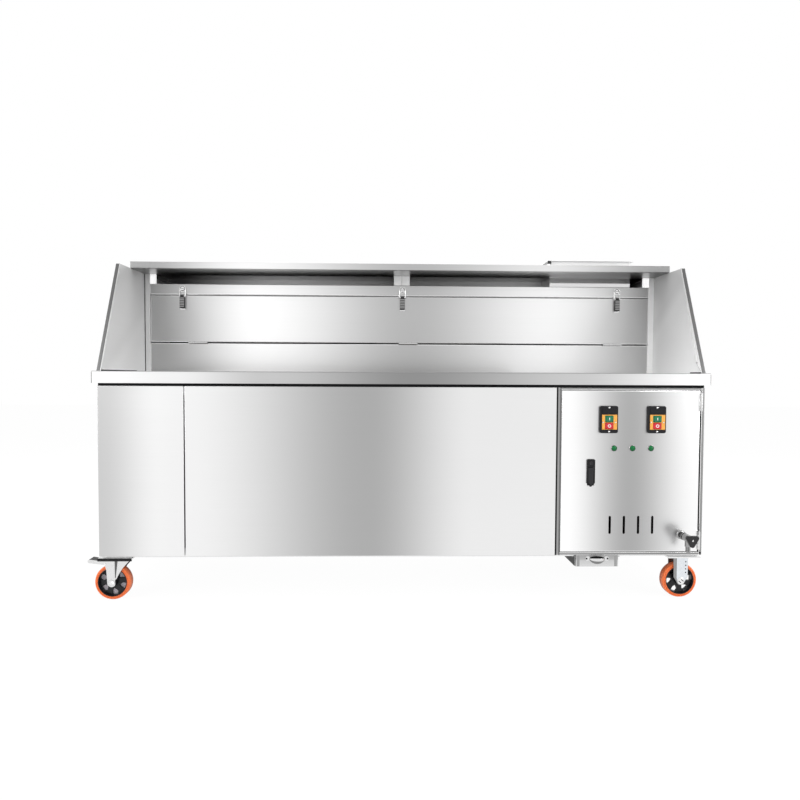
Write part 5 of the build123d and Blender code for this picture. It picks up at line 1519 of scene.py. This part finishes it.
class ControlSettings(bpy.types.PropertyGroup):
    """Colours and sizes of the switches, lamps and lock."""

    start: paint("Start", "Colour of the start buttons", (0.008, 0.17, 0.08))
    stop: paint("Stop", "Colour of the stop buttons", (0.62, 0.022, 0.035))
    insert: paint("Insert", "Colour of the switch insert", (0.84, 0.39, 0.065))
    lens: paint("Lens", "Colour of the signal lamps", (0.0, 0.09, 0.022))
    plate_corner: metres("Plate Corner", "Corner radius of the switch plates", 0.006)
    insert_proud: metres("Insert Proud", "How far the insert stands out", 0.0012)
    surround: metres("Surround", "Half width of the buttons' surrounds", 0.014)
    knurls: IntProperty(name="Knurls", description="Knurls round each lamp bezel", default=28)


def windowed(low, high, openings, depth, ease):
    """Bars round a column of openings, each a left, right, lower and upper edge seen from the front."""
    (x0, z0), (x1, z1) = low, high
    left, right = openings[0][0], openings[0][1]
    front, back = depth
    bars = [block((a, front, z0), (b, back, z1), ease) for a, b in ((x0, left), (right, x1))]
    edges = [z0, *[z for opening in openings for z in opening[2:]], z1]
    for bottom, top in zip(edges[::2], edges[1::2]):
        bars.append(block((left, front, bottom), (right, back, top), ease))
    return joined(*bars)


def ring_mark(place, radius, wire):
    """A raised ring, the usual sign for off."""
    inner, outer, rise = radius - wire, radius + wire, wire * 0.4
    return moved(turned_ring([(inner, 0), (inner, rise), (outer, rise), (outer, 0)], 36), place)


INSERT_HALF = 0.0235
BUTTON_GAP = 0.0006


class BARBECUE_OT_switches(bpy.types.Operator):
    """Build the two switches: black plates, yellow inserts, surrounds, screws and marked buttons"""

    bl_idname = "barbecue.switches"
    bl_label = "Switches"

    def execute(self, context):
        settings = context.scene.barbecue_controls
        black = moulded("switch_moulding", (0.007, 0.007, 0.009), 0.4, 700.0, gloss=0.25)
        yellow = moulded("switch_insert", settings.insert, 0.4)
        white = moulded("white_mark", (0.8, 0.8, 0.78), 0.5)
        screw = plain_steel("switch_screw", 0.9, 0.2)
        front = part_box("switch_bodies")[0].y
        proud = front - settings.insert_proud
        plates, inserts, screws, surrounds = [], [], [], ([], [])
        for side in ("left", "right"):
            start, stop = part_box("start_button_" + side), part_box("stop_button_" + side)
            x = (start[0].x + start[1].x) / 2
            bottom, top = stop[0].z - 0.002, start[1].z + 0.0035
            plates += self.make_plate(x, top + 0.004, settings.plate_corner)
            sides = (start[0].x - BUTTON_GAP, start[1].x + BUTTON_GAP)
            openings = [(*sides, z[0].z - BUTTON_GAP, z[1].z + BUTTON_GAP) for z in (stop, start)]
            corners = (x - INSERT_HALF, bottom), (x + 0.0262, top)
            inserts.append(windowed(*corners, openings, (proud, front + 0.0004), 0.0004))
            depth = (proud - 0.0007, front - settings.insert_proud * 0.5)
            for shapes, opening in zip(surrounds, openings):
                corners = (x - settings.surround, opening[2]), (x + settings.surround, opening[3])
                shapes.append(windowed(*corners, [opening], depth, 0.0004))
            screws += self.make_screws(x, proud, start[0].z - 0.0015)
            self.make_button("start_button_" + side, settings.start, "I", white)
            self.make_button("stop_button_" + side, settings.stop, "O", white)
        finished("switch_plates", plates, black, "door", "black_plastic", ("switch_bodies",))
        finished("switch_inserts", inserts, yellow, "door", "black_plastic")
        for shapes, label, colour in zip(surrounds, ("stop", "start"), (settings.stop, settings.start)):
            finish = moulded(label + "_surround_moulding", colour, 0.3)
            finished(label + "_surrounds", shapes, finish, "door", "black_plastic")
        finished("switch_screws", screws, screw, "door", "bright_metal")
        return {"FINISHED"}

    def make_plate(self, x, cap_low, corner):
        """A black plate with a raised cap over its insert and its block behind the door."""
        low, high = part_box("switch_bodies")
        panel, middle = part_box("door_panel")[0].y, (low.z + high.z) / 2
        outline = rounded(0.060, high.z - low.z, corner)
        shape = plate(outline, panel - low.y, ease=0.0016, steps=3)
        half_wide, half_tall, sunk = 0.025, 0.035, 0.0002
        foot = (x - half_wide, panel - sunk, middle - half_tall)
        back = block(foot, (x + half_wide, high.y, middle + half_tall), 0.001)
        cap_out, cap_drop = 0.0014, 0.009
        foot = (x - INSERT_HALF, low.y - cap_out, cap_low)
        cap = block(foot, (x + INSERT_HALF, low.y, high.z - cap_drop), 0.0008)
        return [moved(shape, facing(x, panel, middle)), back, cap]

    def make_screws(self, x, proud, clip_z):
        """A screw at each end of the plate and a small clip at each side of the insert."""
        low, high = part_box("switch_bodies")
        inset, sunk, clip_out = 0.0055, 0.0003, 0.0205
        shapes = []
        for z in (high.z - inset, low.z + inset):
            shapes.append(moved(pan_screw(0.0032, 0.0018), facing(x, low.y + sunk, z)))
        for at in (x - clip_out, x + clip_out):
            spot = Vector((at, proud, clip_z))
            clip = spot - Vector((0.0022, 0.0012, 0.002)), spot + Vector((0.0022, 0, 0.002))
            shapes.append(block(*clip, 0.0005))
        return shapes

    def make_button(self, node, colour, mark, white):
        """A glossy push-button with a cushioned face and its on or off mark."""
        low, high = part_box(node)
        middle, size = (low + high) / 2, high - low
        finish = moulded(node + "_moulding", colour, 0.22)
        face = facing(middle.x, high.y, middle.z)
        cap = plate(rounded(size.x, size.z, 0.004), size.y, ease=0.0022, steps=4)
        stand_in(node + "_cap", node, moved(cap, face), finish)
        spot = facing(middle.x, low.y + 0.0001, middle.z)
        if mark == "O":
            sign = ring_mark(spot, 0.0042, 0.0011)
        else:
            sign = moved(plate(rounded(0.0022, 0.0085, 0.0005, 2), 0.0005), spot)
        finished(node + "_mark", sign, white, BODIES[node], SLOTS[node])


def lens_finish(name, colour, span):
    """Clear coloured lens with painted shade: deep at its foot, brighter towards its top, with small facets
    inside.
    """
    finish = new_finish(name)
    facets = finish.node("ShaderNodeTexVoronoi", {"feature": "F1"}, {"Scale": 420.0})
    # painted shade: darker towards the lens's foot
    fall = (1.0 - finish.share("Z", span)) * 0.8 + facets * 0.4
    depth = finish.node("ShaderNodeMath", {"operation": "MINIMUM"}, {0: fall, 1: 1.0})
    bright = tuple(min(1.0, c * 2.2 + 0.003) for c in colour)
    finish.surface(
        base_color=finish.mixed(colour_of(bright), colour_of(colour), depth),
        roughness=0.2 + depth * 0.1,
        specular_ior_level=0.3,
    )
    return finish.owner


class BARBECUE_OT_lamps(bpy.types.Operator):
    """Turn the lamp bezels with knurled rims, their nuts behind the door and the domed green lenses, with dark
    rings painted as shade round them
    """

    bl_idname = "barbecue.lamps"
    bl_label = "Signal Lamps"

    def execute(self, context):
        settings = context.scene.barbecue_controls
        chrome = plain_steel("lamp_chrome", 0.9, 0.1, (30.0, 30.0, 30.0))
        low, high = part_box("lamp_bezels")
        glass = lens_finish("lamp_glass", settings.lens, (low.z, high.z))
        lens_low, lens_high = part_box("lamp_lenses")
        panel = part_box("door_panel")[0].y
        radius, lens_radius = (high.z - low.z) / 2, (lens_high.z - lens_low.z) / 2
        rise, dome, tail = panel - low.y, low.y - lens_low.y, panel - high.y
        middle_x, z = (low.x + high.x) / 2, (low.z + high.z) / 2
        bezels, lenses, rim_shades = [], [], []
        for x in (low.x + radius, middle_x, high.x - radius):
            face = facing(x, panel, z)
            bezels += self.make_bezel(face, radius, lens_radius, (rise, tail), settings.knurls)
            behind = placed((x, panel + 0.0022, z), x=(1, 0, 0), z=(0, 1, 0))
            bezels.append(moved(hexagon(radius * 1.02, 0.004), behind))
            full, foot, inset = radius - 0.0022, rise + 0.0002, 0.0004
            shade = [(full - inset, rise), (radius - 0.0008, rise), (full - inset, rise + 0.0005)]
            rim_shades.append(moved(turned_ring(shade, 48), face))
            steps = [math.pi / 2 * k / 8 for k in range(9)]
            crown = [(full * math.cos(a), foot + (dome - 0.0002) * math.sin(a)) for a in steps]
            stem = [(0, rise * 0.2), (lens_radius, rise * 0.2), (lens_radius, rise)]
            lenses.append(moved(turned([*stem, *crown[:-1], (0, rise + dome)], 40), face))
        finished("lamp_rims", bezels, chrome, "door", "bright_metal", ("lamp_bezels",))
        # painted shade: a near-black green ring between each lens and its bezel
        deep = moulded("lamp_rim_painted_shade", (0.004, 0.02, 0.009), 0.4, gloss=0.2)
        finished("lamp_rim_shades", rim_shades, deep, "door", "black_plastic")
        finished("lamp_domes", lenses, glass, "door", "lamp_green", ("lamp_lenses",))
        return {"FINISHED"}

    def make_bezel(self, face, radius, lens_radius, ends, knurls):
        """A bezel with a chamfered rim, knurls round it and its barrel through the door."""
        inner, (rise, tail) = lens_radius + 0.0001, ends
        rim = [(inner, 0), (radius, 0), (radius, rise * 0.55), (radius - 0.0012, rise)]
        rim += [(inner + 0.0006, rise), (inner, rise * 0.7)]
        knurl = block((-0.0003, -0.0004, 0.0002), (0.0003, 0.0004, rise * 0.6), 0.0002, 1)
        around = repeated(RING, knurl, face, Count=knurls, Radius=radius)
        neck = radius * 0.8
        barrel = [(inner, 0), (neck, 0), (neck, tail), (inner, tail)]
        return [moved(turned_ring(rim, 48), face), around, moved(turned_ring(barrel, 32), face)]


LEVER_TIP = 0.95
LEVER_BLUNT = 0.2


class BARBECUE_OT_lock(bpy.types.Operator):
    """Build the flush lock: a pointed black housing with a raised rim, its lever and its button"""

    bl_idname = "barbecue.lock"
    bl_label = "Door Lock"

    def execute(self, context):
        black = moulded("lock_moulding", (0.007, 0.007, 0.008), 0.36, 600.0, gloss=0.25)
        rim_shade_tread_highlight = moulded("lock_lever_moulding", (0.014, 0.014, 0.016), 0.3, 600.0, gloss=0.35)
        self.make_case(black)
        self.make_lever(rim_shade_tread_highlight)
        self.make_button(rim_shade_tread_highlight)
        return {"FINISHED"}

    def make_case(self, finish):
        """The housing: two halves round the lever, raised bars at the sides and head, a block behind."""
        low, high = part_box("lock_housing")
        lever_low, lever_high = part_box("lock_lever")
        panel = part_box("door_panel")[0].y
        x, half = (low.x + high.x) / 2, (high.x - low.x) * 0.44
        height, deep = high.z - low.z, panel - low.y
        point, corner, blunt = half * 0.92, 0.003, half * 0.14
        reach, play, head_gap = (lever_high.x - lever_low.x) / 2, 0.0008, 0.0012
        foot, cap_low = lever_low.z - low.z - play, lever_high.z - low.z + head_gap
        wall = -reach - play
        outline = [(0, height), (corner - half, height), (-half, height - corner), (-half, point)]
        outline += [(-blunt, 0), (0, 0), (0, foot), (-reach * LEVER_BLUNT, foot)]
        outline += [(wall, foot + reach * LEVER_TIP), (wall, cap_low), (0, cap_low)]
        mirrored = [(-a, b) for a, b in reversed(outline)]
        bars = [plate(half_case, deep * 0.55, ease=0.0004) for half_case in (outline, mirrored)]
        rim, sunk, margin = 0.0036, 0.001, 0.002
        for left, right in ((-half, rim - half), (half - rim, half)):
            bars.append(block((left, point * 0.9, sunk), (right, height - margin, deep), 0.0011))
        cap_foot = (margin - half, cap_low, sunk)
        bars.append(block(cap_foot, (half - margin, height - 0.0008, deep), 0.0011))
        shapes = [moved(bar, facing(x, panel, low.z)) for bar in bars]
        pocket, inset, rear = 0.0072, 0.004, half * 0.8
        rear_foot = (x - rear, panel + pocket, low.z + inset)
        shapes.append(block(rear_foot, (x + rear, high.y, high.z - inset), 0.001))
        finished("lock_case", shapes, finish, "door", "black_plastic", ("lock_housing",))

    def make_lever(self, finish):
        """The lever: a flat blade with a blunt point at its foot."""
        low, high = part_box("lock_lever")
        x, reach, length = (low.x + high.x) / 2, (high.x - low.x) / 2, high.z - low.z
        blunt, tip = reach * LEVER_BLUNT, reach * LEVER_TIP
        outline = [(-reach, length), (-reach, tip), (-blunt, 0), (blunt, 0), (reach, tip), (reach, length)]
        blade = plate(outline, high.y - low.y, ease=0.0016, steps=3)
        stand_in("lock_blade", "lock_lever", moved(blade, facing(x, high.y, low.z)), finish)

    def make_button(self, finish):
        """The push-button: a round head with a dished face."""
        low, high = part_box("lock_button")
        radius, middle, tall = (high.x - low.x) / 2, (low + high) / 2, high.y - low.y
        rim = [(0, 0), (radius, 0), (radius, tall - 0.001), (radius - 0.001, tall)]
        rim += [(radius * 0.55, tall - 0.0006), (0, tall - 0.0008)]
        push = moved(turned(rim, 32), facing(middle.x, high.y, middle.z))
        stand_in("lock_push", "lock_button", push, finish)


OPERATORS = [
    BARBECUE_OT_stage,
    BARBECUE_OT_cabinet,
    BARBECUE_OT_counter,
    BARBECUE_OT_hood,
    BARBECUE_OT_exhaust,
    BARBECUE_OT_latches,
    BARBECUE_OT_hinges,
    BARBECUE_OT_tap,
    BARBECUE_OT_drawer,
    BARBECUE_OT_wheels,
    BARBECUE_OT_forks,
    BARBECUE_OT_switches,
    BARBECUE_OT_lamps,
    BARBECUE_OT_lock,
]
SETTINGS = {
    "barbecue_stage": StageSettings,
    "barbecue_sheets": SheetSettings,
    "barbecue_fittings": FittingSettings,
    "barbecue_casters": CasterSettings,
    "barbecue_controls": ControlSettings,
}


class BARBECUE_PT_sidebar(bpy.types.Panel):
    """Lists the cart's operators in the sidebar"""

    bl_idname = "BARBECUE_PT_sidebar"
    bl_label = "Barbecue Cart"
    bl_space_type = "VIEW_3D"
    bl_region_type = "UI"
    bl_category = "Barbecue"

    def draw(self, context):
        for operator in OPERATORS:
            self.layout.operator(operator.bl_idname)


def register():
    for settings in SETTINGS.values():
        bpy.utils.register_class(settings)
    for label, settings in SETTINGS.items():
        setattr(bpy.types.Scene, label, PointerProperty(type=settings))
    for operator in OPERATORS:
        bpy.utils.register_class(operator)
    bpy.utils.register_class(BARBECUE_PT_sidebar)


def unregister():
    bpy.utils.unregister_class(BARBECUE_PT_sidebar)
    for operator in reversed(OPERATORS):
        bpy.utils.unregister_class(operator)
    for label, settings in SETTINGS.items():
        delattr(bpy.types.Scene, label)
        bpy.utils.unregister_class(settings)


def main():
    register()
    for operator in OPERATORS:
        family, action = operator.bl_idname.split(".")
        getattr(getattr(bpy.ops, family), action)()


if __name__ == "__main__":
    main()
